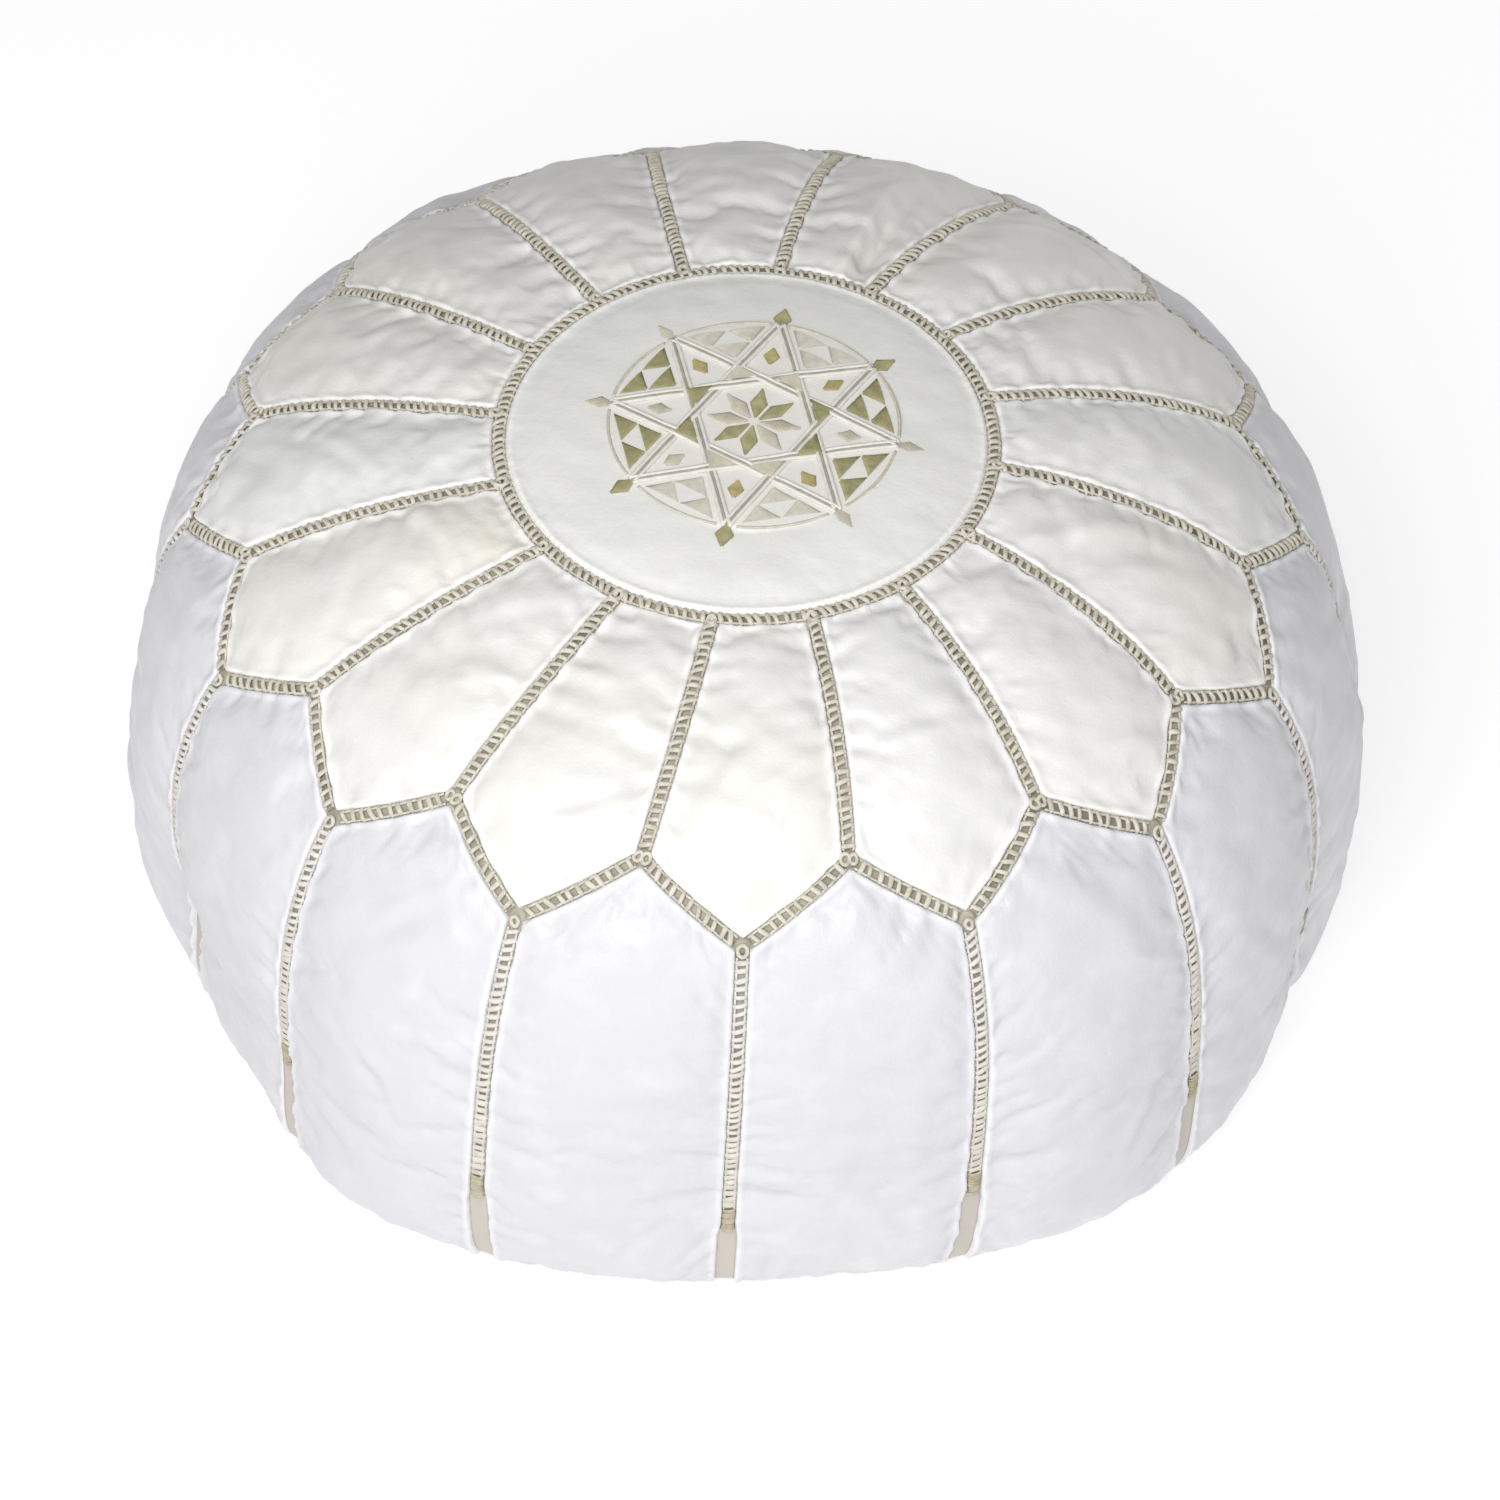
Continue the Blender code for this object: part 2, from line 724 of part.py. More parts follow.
def pull_tab(look, collection, cutters):
    """A flat tab with a window for the arch and a round cross pin, lying along the closed zip."""
    hinge = bpy.data.objects.new("pull_tab_hinge", None)
    hinge.location = (slider_x(), 0.0, TAB_AXIS_Z)
    collection.objects.link(hinge)
    tip = -TAB_LENGTH
    window_end = -ARCH_HALF_LENGTH - 0.0016
    half = 0.5 * TAB_THICK
    mesh = bpy.data.meshes.new("pull_tab")
    shape = bmesh.new()
    bmesh.ops.create_cone(
        shape,
        cap_ends=True,
        segments=16,
        radius1=TAB_PIN_RADIUS,
        radius2=TAB_PIN_RADIUS,
        depth=2.0 * TAB_HALF,
    )
    bmesh.ops.rotate(
        shape,
        verts=shape.verts,
        matrix=Matrix.Rotation(0.5 * math.pi, 3, "X"),
    )
    shape.to_mesh(mesh)
    shape.free()
    tab = add_object("pull_tab", mesh, look, collection)
    outline = [
        (0.0, -TAB_HALF + 0.0002),
        (0.0, -TAB_HOLE_HALF),
        (window_end, -TAB_HOLE_HALF),
        (window_end, TAB_HOLE_HALF),
        (0.0, TAB_HOLE_HALF),
        (0.0, TAB_HALF - 0.0002),
        (tip + 0.001, TAB_HALF - 0.0002),
        (tip, TAB_HALF - 0.0014),
        (tip, -TAB_HALF + 0.0014),
        (tip + 0.001, -TAB_HALF + 0.0002),
    ]
    points = [(x, y, 0.05 * TAB_THICK - half) for x, y in outline]
    plate = prism("tab_plate", points, (0.0, 0.0, 0.9 * TAB_THICK), look, cutters)
    boolean(tab, as_cutter(plate), "UNION")
    for item in (tab, plate):
        item.parent = hinge
    return tab


def filling(look, collection, cutters):
    """The stuffing, with a groove over the zip."""
    profile = [tuple(point) for point in outline_points(FILLING_INSET)[::16]]
    profile[0] = (0.0, profile[0][1])
    kept = [point for point in profile if point[1] > FILLING_Z + 0.004]
    foot = FOOT_RADIUS - FILLING_INSET - 0.004
    kept += [(foot + 0.003, FILLING_Z + 0.003), (foot, FILLING_Z), (0.0, FILLING_Z)]
    body = lathe("filling", kept, 32, look, collection)
    reach = 0.5 * RECESS_LENGTH + RECESS_TAPER
    groove = block(
        "zip_groove",
        (-reach, -GROOVE_HALF, -0.01),
        (reach, GROOVE_HALF, GROOVE_TOP),
        look,
        cutters,
    )
    boolean(body, as_cutter(groove), "DIFFERENCE")


def main():
    clear_scene()
    parts = new_collection("leather_pouf")
    cutters = new_collection("cutters")
    warm = material("leather_warm", LEATHER_WARM, 0.45)
    cool = material("leather_cool", LEATHER_COOL, 0.45)
    strip = material("strip_leather", STRIP_COLOUR, 0.6)
    thread = material("waxed_thread", THREAD_COLOUR, 0.7)
    worked = material("needlework_thread", NEEDLEWORK_COLOUR, 0.7)
    tape = material("zip_tape", TAPE_COLOUR, 0.85)
    brass = material("zip_brass", BRASS_COLOUR, 0.3, 1.0)
    stuffing = material("filling", FILLING_COLOUR, 0.9)

    medallion(warm, parts)
    upper_panels(warm, parts)
    lower_panels(cool, parts)
    seams(strip, thread, parts)
    needlework(worked, parts, cutters)
    base_panel("base_panel_front", -1.0, cool, parts)
    base_panel("base_panel_back", 1.0, cool, parts)
    base_stitching(thread, parts)
    for name, side in (("front", -1.0), ("back", 1.0)):
        zip_tape(f"zip_tape_{name}", side, tape, parts)
        zip_teeth(f"zip_teeth_{name}", side, brass, parts)
    zip_stop("zip_stop_closed_end", 1.0, brass, parts)
    zip_stop("zip_stop_open_end", -1.0, brass, parts)
    zip_slider(brass, parts, cutters)
    pull_tab(brass, parts, cutters)
    filling(stuffing, parts, cutters)


main()
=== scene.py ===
"""The looks of a round stitched-leather pouf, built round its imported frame.

The cover is described in two surface coordinates, as in the frame's own source: an angle round
the pouf from the front (-Y), and a run, the distance along the outline from the middle of the top.
A rise is a height above that outline. Every length is in metres.
"""

import math

import bpy
import numpy as np
from mathutils import Matrix, Vector


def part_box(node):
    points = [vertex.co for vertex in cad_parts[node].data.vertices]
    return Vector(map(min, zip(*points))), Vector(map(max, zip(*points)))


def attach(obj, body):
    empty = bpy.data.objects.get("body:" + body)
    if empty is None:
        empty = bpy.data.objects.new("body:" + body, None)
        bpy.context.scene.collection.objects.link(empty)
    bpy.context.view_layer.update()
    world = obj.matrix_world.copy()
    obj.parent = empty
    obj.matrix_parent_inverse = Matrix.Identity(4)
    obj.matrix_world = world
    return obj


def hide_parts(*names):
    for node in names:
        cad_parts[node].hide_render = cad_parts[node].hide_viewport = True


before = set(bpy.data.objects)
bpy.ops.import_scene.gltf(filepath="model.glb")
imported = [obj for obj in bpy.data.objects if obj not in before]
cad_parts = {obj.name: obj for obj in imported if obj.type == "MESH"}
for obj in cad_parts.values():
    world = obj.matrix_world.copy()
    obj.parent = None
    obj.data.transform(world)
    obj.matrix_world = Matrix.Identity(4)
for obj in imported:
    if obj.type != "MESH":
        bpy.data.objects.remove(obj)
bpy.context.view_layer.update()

TURN = 2.0 * math.pi
UPRIGHT = np.array((0.0, 0.0, 1.0))

# The cover's outline
PANELS = 16
PITCH = TURN / PANELS
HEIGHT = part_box("top_medallion")[1].z
RADIUS = 0.280
WAIST_Z = 0.073
FOOT_RADIUS = 0.262
CROWN_POWER = 3.0
CROWN_SAMPLES = 481
FOOT_SAMPLES = 120
SHOULDER_Z = 0.2365
APEX_Z = 0.2105
RING_RADIUS = 0.1082
SETTLE_Y = -0.0084
TWIST_DEGREES = (4.3, 0.75, -0.25, -0.7)
VALLEY = 0.0048
FOOT_VALLEY = 0.0024
CROWN_SINK = 0.0027

# The stuffing is lumpy: waves round the pouf, height, and the angle of a crest in degrees
LUMPS = (
    (2, 0.0032, 90.0),
    (3, 0.0047, -90.0),
    (4, 0.0051, 165.0),
    (5, 0.0030, -90.0),
    (6, 0.0053, -169.0),
)
LUMP_FOOT_SHARE = 0.50

# Single hollows and bulges: degrees from the front, height, depth, and their reach in degrees and up
HOLLOWS = (
    (-60.0, 0.050, -0.0115, 14.0, 0.040),
    (62.0, 0.050, -0.0045, 14.0, 0.040),
    (-98.0, 0.145, -0.0100, 12.0, 0.040),
    (96.0, 0.155, -0.0070, 10.0, 0.035),
    (-39.0, 0.010, 0.0050, 12.0, 0.040),
    (45.0, 0.010, 0.0050, 12.0, 0.040),
)

# One deep fold in the crown: panel, share across it, share along it, depth
DEEP_FOLD = (7, 0.27, 0.22, 0.0058)

# Leather: its thickness, a lip rolled up beside each seam (height, place, width), and the dive
# from there to the strip (depth, width)
LEATHER = 0.0016
LIP = (0.0013, 0.0024, 0.0017)
LIP_PINCH = 0.30
TUCK = (0.0016, 0.0009)
FINE = 0.0018
FINER = 0.0014

# How yellow each hide is, round from the front
UPPER_TONES = (0.55, 0.05, 0.30, 0.50, 0.05, 0.40, 0.50, 0.40,
               0.35, 0.45, 0.50, 0.60, 0.00, 0.85, 0.40, 0.50)
LOWER_TONES = (0.30, 0.15, 0.25, 0.10, 0.35, 0.20, 0.30, 0.15,
               0.40, 0.20, 0.10, 0.30, 0.15, 0.30, 0.10, 0.35)

# Seams, the strips let into them and the threads over the strips
BAND_HALF = 0.0022
STRIP_HALF = 0.0030
STRIP_THICKNESS = 0.0010
STRIP_SINK = 0.0002
BARE_HALF = 0.0036
BARE_STRIP_HALF = 0.0046
STITCH_PITCH = 0.0039
V_STITCH_PITCH = 0.0046
STITCH_RADIUS = 0.00115
STITCH_SLANT = 0.32
STITCH_OVERLAP = 0.0006
STITCH_ARCH = 0.0009
STITCH_DIVE = 0.0010
STITCH_LIFT = 0.0007
RAIL_RADIUS = 0.0006
HUB_REACH = 0.0044
LOOP_HALF = (0.0018, 0.0024)
LOOP_RADIUS = 0.0009
LOOP_RISE = 0.0012

# How far the stitches start or stop short of the seams' junctions
RING_GAP = 0.0010
SHOULDER_GAP = 0.0035
APEX_GAP = 0.0050
V_SHARES = np.array((0.07, 0.93))

# Knots end the stitches of the lower seams, and drop lower at the very front
KNOT_HALF = 0.0072
KNOT_DROP = 0.018
KNOT_PITCH = 0.0017
KNOT_RADIUS = 0.0010

# Where down a lower seam its stitches start to be worn: at the front, and less a step per seam
WORN_FROM = 0.58
WORN_STEP = 0.11
WORN_FADE = 0.25

# The embroidered star on the medallion
STAR_LOW, STAR_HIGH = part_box("medallion_needlework")
STAR_FORWARD = 0.008
STAR_CENTRE = (0.5 * (STAR_LOW.x + STAR_HIGH.x), 0.5 * (STAR_LOW.y + STAR_HIGH.y) - STAR_FORWARD)
STAR_POINTS = 8
STAR_STEP = 3
STAR_RADIUS = 0.068
STAR_TURN = math.radians(-100.0)
CORD_ASIDE = 0.0014
CORD_WEAVE = 0.0004
THREAD_PITCH = 0.0006
BACKING_RADIUS = 0.93 * STAR_RADIUS
BACKING_RISE = 0.0006

# Crossings along each straight run of the star, in star radii from its middle: over or under
OVER_UNDER = ((-0.3827, 1.0), (-0.1585, -1.0), (0.1585, 1.0), (0.3827, -1.0))

# Thread colours round the star. Olive taking turns with beige on the tips and inner triangles, and with
# pale on the wedges, as the stitches turn, is painted sheen on one olive thread
TIP_PAINTED_SHEEN_SHADES = 2 * ("olive", "beige", "beige", "olive")
POINT_SHADES = ("gold", "gold", "beige", "gold", "gold", "gold", "beige", "beige")
INNER_PAINTED_SHEEN_SHADES = 2 * ("beige", "olive", "olive", "beige")
WEDGE_PAINTED_SHEEN_SHADES = 2 * ("pale", "olive", "olive", "pale")

# The underside: the lower panels' hem, the thread round it and the lowest stuffing
BASE_LOW, BASE_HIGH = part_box("base_panel_front")
BASE_RADIUS = 0.5 * (BASE_HIGH.x - BASE_LOW.x)
BASE_STITCHES = 330
HEM_LOW = 0.0046
HEM_HIGH = 0.0058
STUFFING_DEPTH = 0.0125
STUFFING_FOOT = 0.0095

# The cover blown up as cloth: columns and rows of each kind of panel, frames, and the movement's cap
UPPER_SIM = (23, 35)
LOWER_SIM = (27, 57)
SIM_FRAMES = 20
SIM_CAP = 0.0065
CLOTH = {
    "quality": 6,
    "mass": 0.25,
    "tension_stiffness": 25.0,
    "compression_stiffness": 12.0,
    "shear_stiffness": 8.0,
    "bending_stiffness": 0.8,
    "tension_damping": 8.0,
    "vertex_group_mass": "seams",
    "pin_stiffness": 1.0,
    "use_pressure": True,
    "uniform_pressure_force": 14.0,
    "vertex_group_shrink": "slack",
    "shrink_min": -0.028,
    "shrink_max": -0.055,
}

# Leather: its colour where plain, yellowed and rubbed, and a shift of its clouds; the rubbed colour also
# paints a highlight on the lips beside the seams
LEATHERS = {
    "upper_leather": ((0.755, 0.75, 0.745), (0.78, 0.75, 0.665), (0.90, 0.89, 0.88), 0.0),
    "medallion_leather": ((0.80, 0.795, 0.77), (0.82, 0.79, 0.74), (0.90, 0.895, 0.88), 1.0),
    "lower_leather": ((0.655, 0.65, 0.685), (0.68, 0.66, 0.65), (0.80, 0.80, 0.82), 2.0),
    "base_leather": ((0.70, 0.69, 0.72), (0.72, 0.68, 0.62), (0.80, 0.80, 0.82), 5.0),
}

# Thread: its colour where light and dark, and where rubbed if it wears
THREADS = {
    "waxed_thread": ((0.68, 0.65, 0.56), (0.50, 0.47, 0.385), (0.79, 0.77, 0.77)),
    "knot_thread": ((0.51, 0.47, 0.35), (0.37, 0.33, 0.22)),
    "needlework_olive": ((0.43, 0.40, 0.22), (0.32, 0.30, 0.15)),
    "needlework_gold": ((0.50, 0.43, 0.19), (0.36, 0.31, 0.13)),
    # Beige where it takes turns with olive round the star, and pale, are the olive thread with a painted
    # sheen
    "needlework_beige": ((0.64, 0.60, 0.49), (0.54, 0.51, 0.41)),
    "needlework_pale": ((0.66, 0.63, 0.54), (0.56, 0.54, 0.46)),
    "needlework_grey": ((0.46, 0.43, 0.36), (0.36, 0.34, 0.28)),
    "needlework_cream": ((0.80, 0.78, 0.72), (0.72, 0.70, 0.64)),
}

# Other colours
# The strip between the stitches is darker than bare strip: partly dirt, partly painted shade in the gaps
SHADED_GRUBBY_STRIP = (0.46, 0.425, 0.345)
BARE_STRIP = (0.535, 0.50, 0.445)
COTTON = (0.80, 0.76, 0.66)
ZIP_TAPE = (0.62, 0.58, 0.50)
BRASS = (0.75, 0.58, 0.30)

# Camera and lights
CAMERA_ELEVATION = 0.8088
CAMERA_DISTANCE = 3.0
CAMERA_AIM = Vector((0.0, 0.0, 0.15))
CAMERA_ROLL = 0.019
CAMERA_LENS = 160.584
CAMERA_SHIFT = (0.0044667, -0.0868)
LIGHT_SIZE = 1.0
KEY_PLACE = (-0.26, -1.05, 1.40)
KEY_AIM = (0.0, 0.0, 0.12)
KEY_POWER = 19.0
BACK_FILL_PLACE = (0.8, 2.0, 0.12)
BACK_FILL_AIM = (0.0, 0.0, 0.08)
BACK_FILL_POWER = 5.0
WORLD_FRONT_AND_BACK = (0.66, 0.14)
WORLD_SEEN = (0.95, 0.95, 0.95)
FLOOR_HALF = 20.0
FLOOR_GLOW = 0.65


# Plain mathematics


def smooth(value):
    """A step that eases in and out between 0 and 1."""
    value = np.clip(value, 0.0, 1.0)
    return value * value * (3.0 - 2.0 * value)


def bell(value):
    """A smooth hump: 1 at 0, and next to nothing past 2 either way."""
    return np.exp(-(value**2))


def unit(vectors):
    return vectors / np.maximum(np.linalg.norm(vectors, axis=-1, keepdims=True), 1e-12)


def around(count):
    """Angles evenly spaced round a whole turn."""
    return np.linspace(0.0, TURN, count, endpoint=False)


def outward_at(angle):
    """Level directions out from the middle, at angles from the front."""
    return np.stack((np.sin(angle), -np.cos(angle), np.zeros_like(angle)), axis=-1)


def waves_noise(points, scale, seed, octaves=3):
    """Smooth noise from a sum of waves in fixed, seeded directions, within about -1 and 1."""
    draw = np.random.default_rng(seed)
    total = np.zeros(points.shape[:-1])
    weight = 0.0
    for octave in range(octaves):
        share = 0.55**octave
        for _ in range(7):
            direction = unit(draw.normal(size=3))
            pitch = scale / (2.0**octave) * draw.uniform(0.8, 1.3)
            phase = draw.uniform(0.0, TURN)
            total += share * np.sin(TURN * (points @ direction) / pitch + phase)
        weight += share * math.sqrt(7.0)
    return total / weight


# The outline of the cover


def outline_table():
    """Radius and height of the outline, and the distance run along it."""
    power = 2.0 / CROWN_POWER
    upper = np.linspace(0.0, 0.5 * math.pi, CROWN_SAMPLES)
    lower = np.linspace(0.0, 0.5 * math.pi, FOOT_SAMPLES + 1)[1:]
    across = np.append(
        RADIUS * np.sin(upper) ** power, FOOT_RADIUS + (RADIUS - FOOT_RADIUS) * np.cos(lower)
    )
    rising = WAIST_Z + (HEIGHT - WAIST_Z) * np.clip(np.cos(upper), 0.0, None) ** power
    up = np.append(rising, WAIST_Z * (1.0 - np.sin(lower)))
    run = np.append(0.0, np.cumsum(np.hypot(np.diff(across), np.diff(up))))
    return across, up, run


ACROSS, UP, RUN = outline_table()
RUN_FOOT = float(RUN[-1])


def radius_at(run):
    return np.interp(run, RUN, ACROSS)


def height_at(run):
    return np.interp(run, RUN, UP)


def run_at_radius(radius):
    """Run at a radius on the crown."""
    return np.interp(radius, ACROSS[:CROWN_SAMPLES], RUN[:CROWN_SAMPLES])


def run_at_height(height):
    return float(np.interp(-height, -UP, RUN))


RUN_RING = float(run_at_radius(RING_RADIUS))
RUN_SHOULDER, RUN_APEX, RUN_WAIST = map(run_at_height, (SHOULDER_Z, APEX_Z, WAIST_Z))


def valley_at(run):
    """Depth of a seam below the crowns of its panels."""
    return np.interp(run, (RUN_WAIST, RUN_FOOT), (VALLEY, FOOT_VALLEY))


def lump(azimuth, run):
    """How far the stuffing pushes the sides out, or lets them in."""
    shares = np.interp(run, (RUN_SHOULDER, RUN_WAIST, RUN_FOOT), (0.0, 1.0, LUMP_FOOT_SHARE))
    total = shares * sum(
        height * np.cos(waves * azimuth - math.radians(crest)) for waves, height, crest in LUMPS
    )
    up = height_at(run)
    for at, high, depth, width, reach in HOLLOWS:
        turned = np.degrees(np.angle(np.exp(1j * (azimuth - math.radians(at)))))
        total = total + depth * bell(turned / width) * bell((up - high) / reach)
    return total * smooth((run - RUN_SHOULDER) / 0.02)


def cover(angle, run, rise=0.0):
    """Points of the cover, as an array whose last axis is x, y, z."""
    angle, run, rise = np.broadcast_arrays(angle, run, rise)
    reach = 0.003
    inner = np.clip(run - reach, 0.0, None)
    outer = np.clip(run + reach, None, RUN_FOOT)
    along_r = radius_at(outer) - radius_at(inner)
    along_z = height_at(outer) - height_at(inner)
    length = np.hypot(along_r, along_z)
    across = radius_at(run) - along_z / length * rise
    up = height_at(run) + along_r / length * rise
    knots = (RUN_RING, RUN_SHOULDER, RUN_WAIST, RUN_FOOT)
    azimuth = angle + np.radians(np.interp(run, knots, TWIST_DEGREES))
    across = across + lump(azimuth, run)
    forward = SETTLE_Y * np.interp(run, (RUN_RING, RUN_SHOULDER), (1.0, 0.0))
    return np.stack((across * np.sin(azimuth), forward - across * np.cos(azimuth), up), axis=-1)


def v_seam_run(offset):
    """Run of a V seam, at an angle from the shoulder above it."""
    return RUN_SHOULDER + (RUN_APEX - RUN_SHOULDER) * np.abs(offset) / (0.5 * PITCH)


def knot_height(angle):
    """Height of the knots, lower at the very front."""
    turned = (angle + math.pi) % TURN - math.pi
    return WAIST_Z - KNOT_DROP * bell(1.2 * turned / PITCH)


def bare_share(angle, run):
    """How far a seam has opened below its knot, where the strip lies bare."""
    return smooth((knot_height(angle) - height_at(run) - 0.003) / 0.010)


V_RADIUS = float(radius_at(0.5 * (RUN_APEX + RUN_SHOULDER)))
V_SLOPE = (RUN_APEX - RUN_SHOULDER) / (0.5 * PITCH * V_RADIUS)
V_SETBACK = math.hypot(1.0, V_SLOPE)


# Meshes


def grid_faces(rows, columns, wrap=False):
    """Quads over a grid of points stored row by row, facing out."""
    row = np.arange(rows - 1)[:, None]
    column = np.arange(columns if wrap else columns - 1)[None, :]
    following = (column + 1) % columns
    corners = (
        row * columns + column,
        (row + 1) * columns + column,
        (row + 1) * columns + following,
        row * columns + following,
    )
    return np.stack(corners, axis=-1).reshape(-1, 4)


def closed_sheet(place, normal, thickness):
    """A grid of points given a thickness inwards, as points and faces of a closed solid."""
    rows, columns = place.shape[:2]
    count = rows * columns
    points = np.concatenate((place.reshape(-1, 3), (place - thickness * normal).reshape(-1, 3)))
    outer = grid_faces(rows, columns)
    index = np.arange(count).reshape(rows, columns)
    rim = np.concatenate((index[0, :-1], index[:-1, -1], index[-1, :0:-1], index[:0:-1, 0]))
    following = np.roll(rim, -1)
    sides = np.stack((rim, following, following + count, rim + count), axis=-1)
    return points, np.concatenate((outer, outer[:, ::-1] + count, sides))


def tube(rings, closed=False):
    """Points and faces of a tube through rings, with a hub in each end unless it joins itself."""
    rows, columns = rings.shape[:2]
    points = rings.reshape(-1, 3)
    if closed:
        return points, (grid_faces(rows + 1, columns, wrap=True) % (rows * columns))[:, ::-1]
    points = np.concatenate((points, rings[:1].mean(axis=1), rings[-1:].mean(axis=1)))
    column = np.arange(columns)
    following = (column + 1) % columns
    hub = np.full(columns, rows * columns)
    base = (rows - 1) * columns
    head = np.stack((column, following, hub, hub), axis=-1)
    tail = np.stack((base + following, base + column, hub + 1, hub + 1), axis=-1)
    faces = np.concatenate((grid_faces(rows, columns, wrap=True), head, tail))
    return points, faces[:, ::-1]


def cord(path, up, wide, tall, sides=6, closed=False):
    """Points and faces of a cord along a path, with its half width and half height."""
    if closed:
        direction = unit(np.roll(path, -1, axis=0) - np.roll(path, 1, axis=0))
    else:
        direction = unit(np.gradient(path, axis=0))
    side = unit(np.cross(direction, up))
    top = np.cross(side, direction)
    turn = -around(sides)[None, :, None]
    wide = np.broadcast_to(wide, len(path))[:, None, None]
    tall = np.broadcast_to(tall, len(path))[:, None, None]
    rings = path[:, None] + np.cos(turn) * side[:, None] * wide + np.sin(turn) * top[:, None] * tall
    return tube(rings, closed)


def join(parts):
    """One set of points and faces from several."""
    starts = np.cumsum([0] + [len(points) for points, _ in parts])
    faces = [faces + start for (_, faces), start in zip(parts, starts)]
    return np.concatenate([points for points, _ in parts]), np.concatenate(faces)


def put(name, data):
    """A new object in the scene."""
    made = bpy.data.objects.new(name, data)
    bpy.context.scene.collection.objects.link(made)
    return made


def new_object(name, points, faces, look=None, values=None):
    """A smooth mesh object from points and faces, with values held at its points.

    Every face has four corners, and one that names a corner twice running is a triangle.
    """
    mesh = bpy.data.meshes.new(name)
    points = np.asarray(points, np.float32).reshape(-1, 3)
    faces = np.asarray(faces, np.int32)
    kept = faces != np.roll(faces, -1, axis=1)
    sizes = kept.sum(axis=1)
    mesh.vertices.add(len(points))
    mesh.vertices.foreach_set("co", points.ravel())
    mesh.loops.add(int(sizes.sum()))
    mesh.loops.foreach_set("vertex_index", faces[kept])
    mesh.polygons.add(len(faces))
    mesh.polygons.foreach_set("loop_start", (np.cumsum(sizes) - sizes).astype(np.int32))
    mesh.polygons.foreach_set("use_smooth", np.ones(len(faces), bool))
    for key, held in (values or {}).items():
        layer = mesh.attributes.new(key, "FLOAT", "POINT")
        layer.data.foreach_set("value", np.asarray(held, np.float32).ravel())
    mesh.update(calc_edges=True)
    mesh.validate()
    if look is not None:
        mesh.materials.append(look)
    return put(name, mesh)


def new_piece(name, shape, look, slot, *nodes, **values):
    """A piece that rides on the pouf, from points and faces, in place of the named nodes."""
    piece = new_object(name, *shape, look, values)
    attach(piece, "pouf")
    if nodes:
        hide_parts(*nodes)


# Leather panels


class Panel:
    """One leather panel between two side seams, laid out as a grid of shares u and v.

    Its seed is its place in the row round the pouf, plus a whole number of rows.
    """

    def __init__(self, name, centre, upper, seed):
        self.name = name
        self.centre = centre
        self.upper = upper
        self.seed = seed
        self.tone = (UPPER_TONES if upper else LOWER_TONES)[seed % PANELS]

    def ends(self, u):
        """Runs of the panel's top and bottom edges at a share across."""
        offset = (2.0 * u - 1.0) * (0.5 * PITCH - BAND_HALF / V_RADIUS)
        if self.upper:
            top = np.full_like(offset, RUN_RING + BAND_HALF)
            bottom = v_seam_run(0.5 * PITCH - np.abs(offset)) - V_SETBACK * BAND_HALF
        else:
            top = v_seam_run(offset) + V_SETBACK * BAND_HALF
            bottom = np.full_like(offset, RUN_FOOT)
        return top, bottom

    def grid(self, u, v):
        """Shares, run and length of the panel at each point of the grid."""
        u, v = np.meshgrid(u, v)
        top, bottom = self.ends(u)
        return u, v, top + (bottom - top) * v, bottom - top

    def places(self, u, v):
        """Angle and run of each point of the grid."""
        u, v, run, _ = self.grid(u, v)
        seam = self.centre + 0.5 * PITCH * np.sign(2.0 * u - 1.0)
        gap = BAND_HALF + (BARE_HALF - BAND_HALF) * bare_share(seam, run)
        half = 0.5 * PITCH - gap / radius_at(run)
        return self.centre + (2.0 * u - 1.0) * half, run

    def edge_distances(self, u, v):
        """Distances from each point to the left, right, top and bottom edges."""
        u, v, run, length = self.grid(u, v)
        width = PITCH * radius_at(run) - 2.0 * BAND_HALF
        slant_top, slant_bottom = (1.0, V_SETBACK) if self.upper else (V_SETBACK, 1.0)
        return u * width, (1.0 - u) * width, v * length / slant_top, (1.0 - v) * length / slant_bottom

    def base_rise(self, u, v):
        """The panel before it is blown up: sunk to the seams, slightly full in the middle."""
        _, run = self.places(u, v)
        across, along = np.meshgrid(1.0 - np.abs(2.0 * u - 1.0) ** 2.5, 1.0 - np.abs(2.0 * v - 1.0) ** 3)
        valley = valley_at(run)
        return -valley + np.clip(valley - CROWN_SINK, 0.0, None) * across * along

    def surface(self, u, v):
        """Angle, run and place of each point of the grid before it is blown up."""
        angle, run = self.places(u, v)
        return angle, run, cover(angle, run, self.base_rise(u, v))


def make_panels():
    """The upper panels and then the lower ones, each row from the front round."""
    panels = []
    for row, upper, first, seed in (("upper", True, 0.0, 0), ("lower", False, 0.5, 6 * PANELS)):
        for k in range(PANELS):
            panels.append(Panel(f"{row}_panel_{k + 1:02d}", (first + k) * PITCH, upper, seed + k))
    return panels


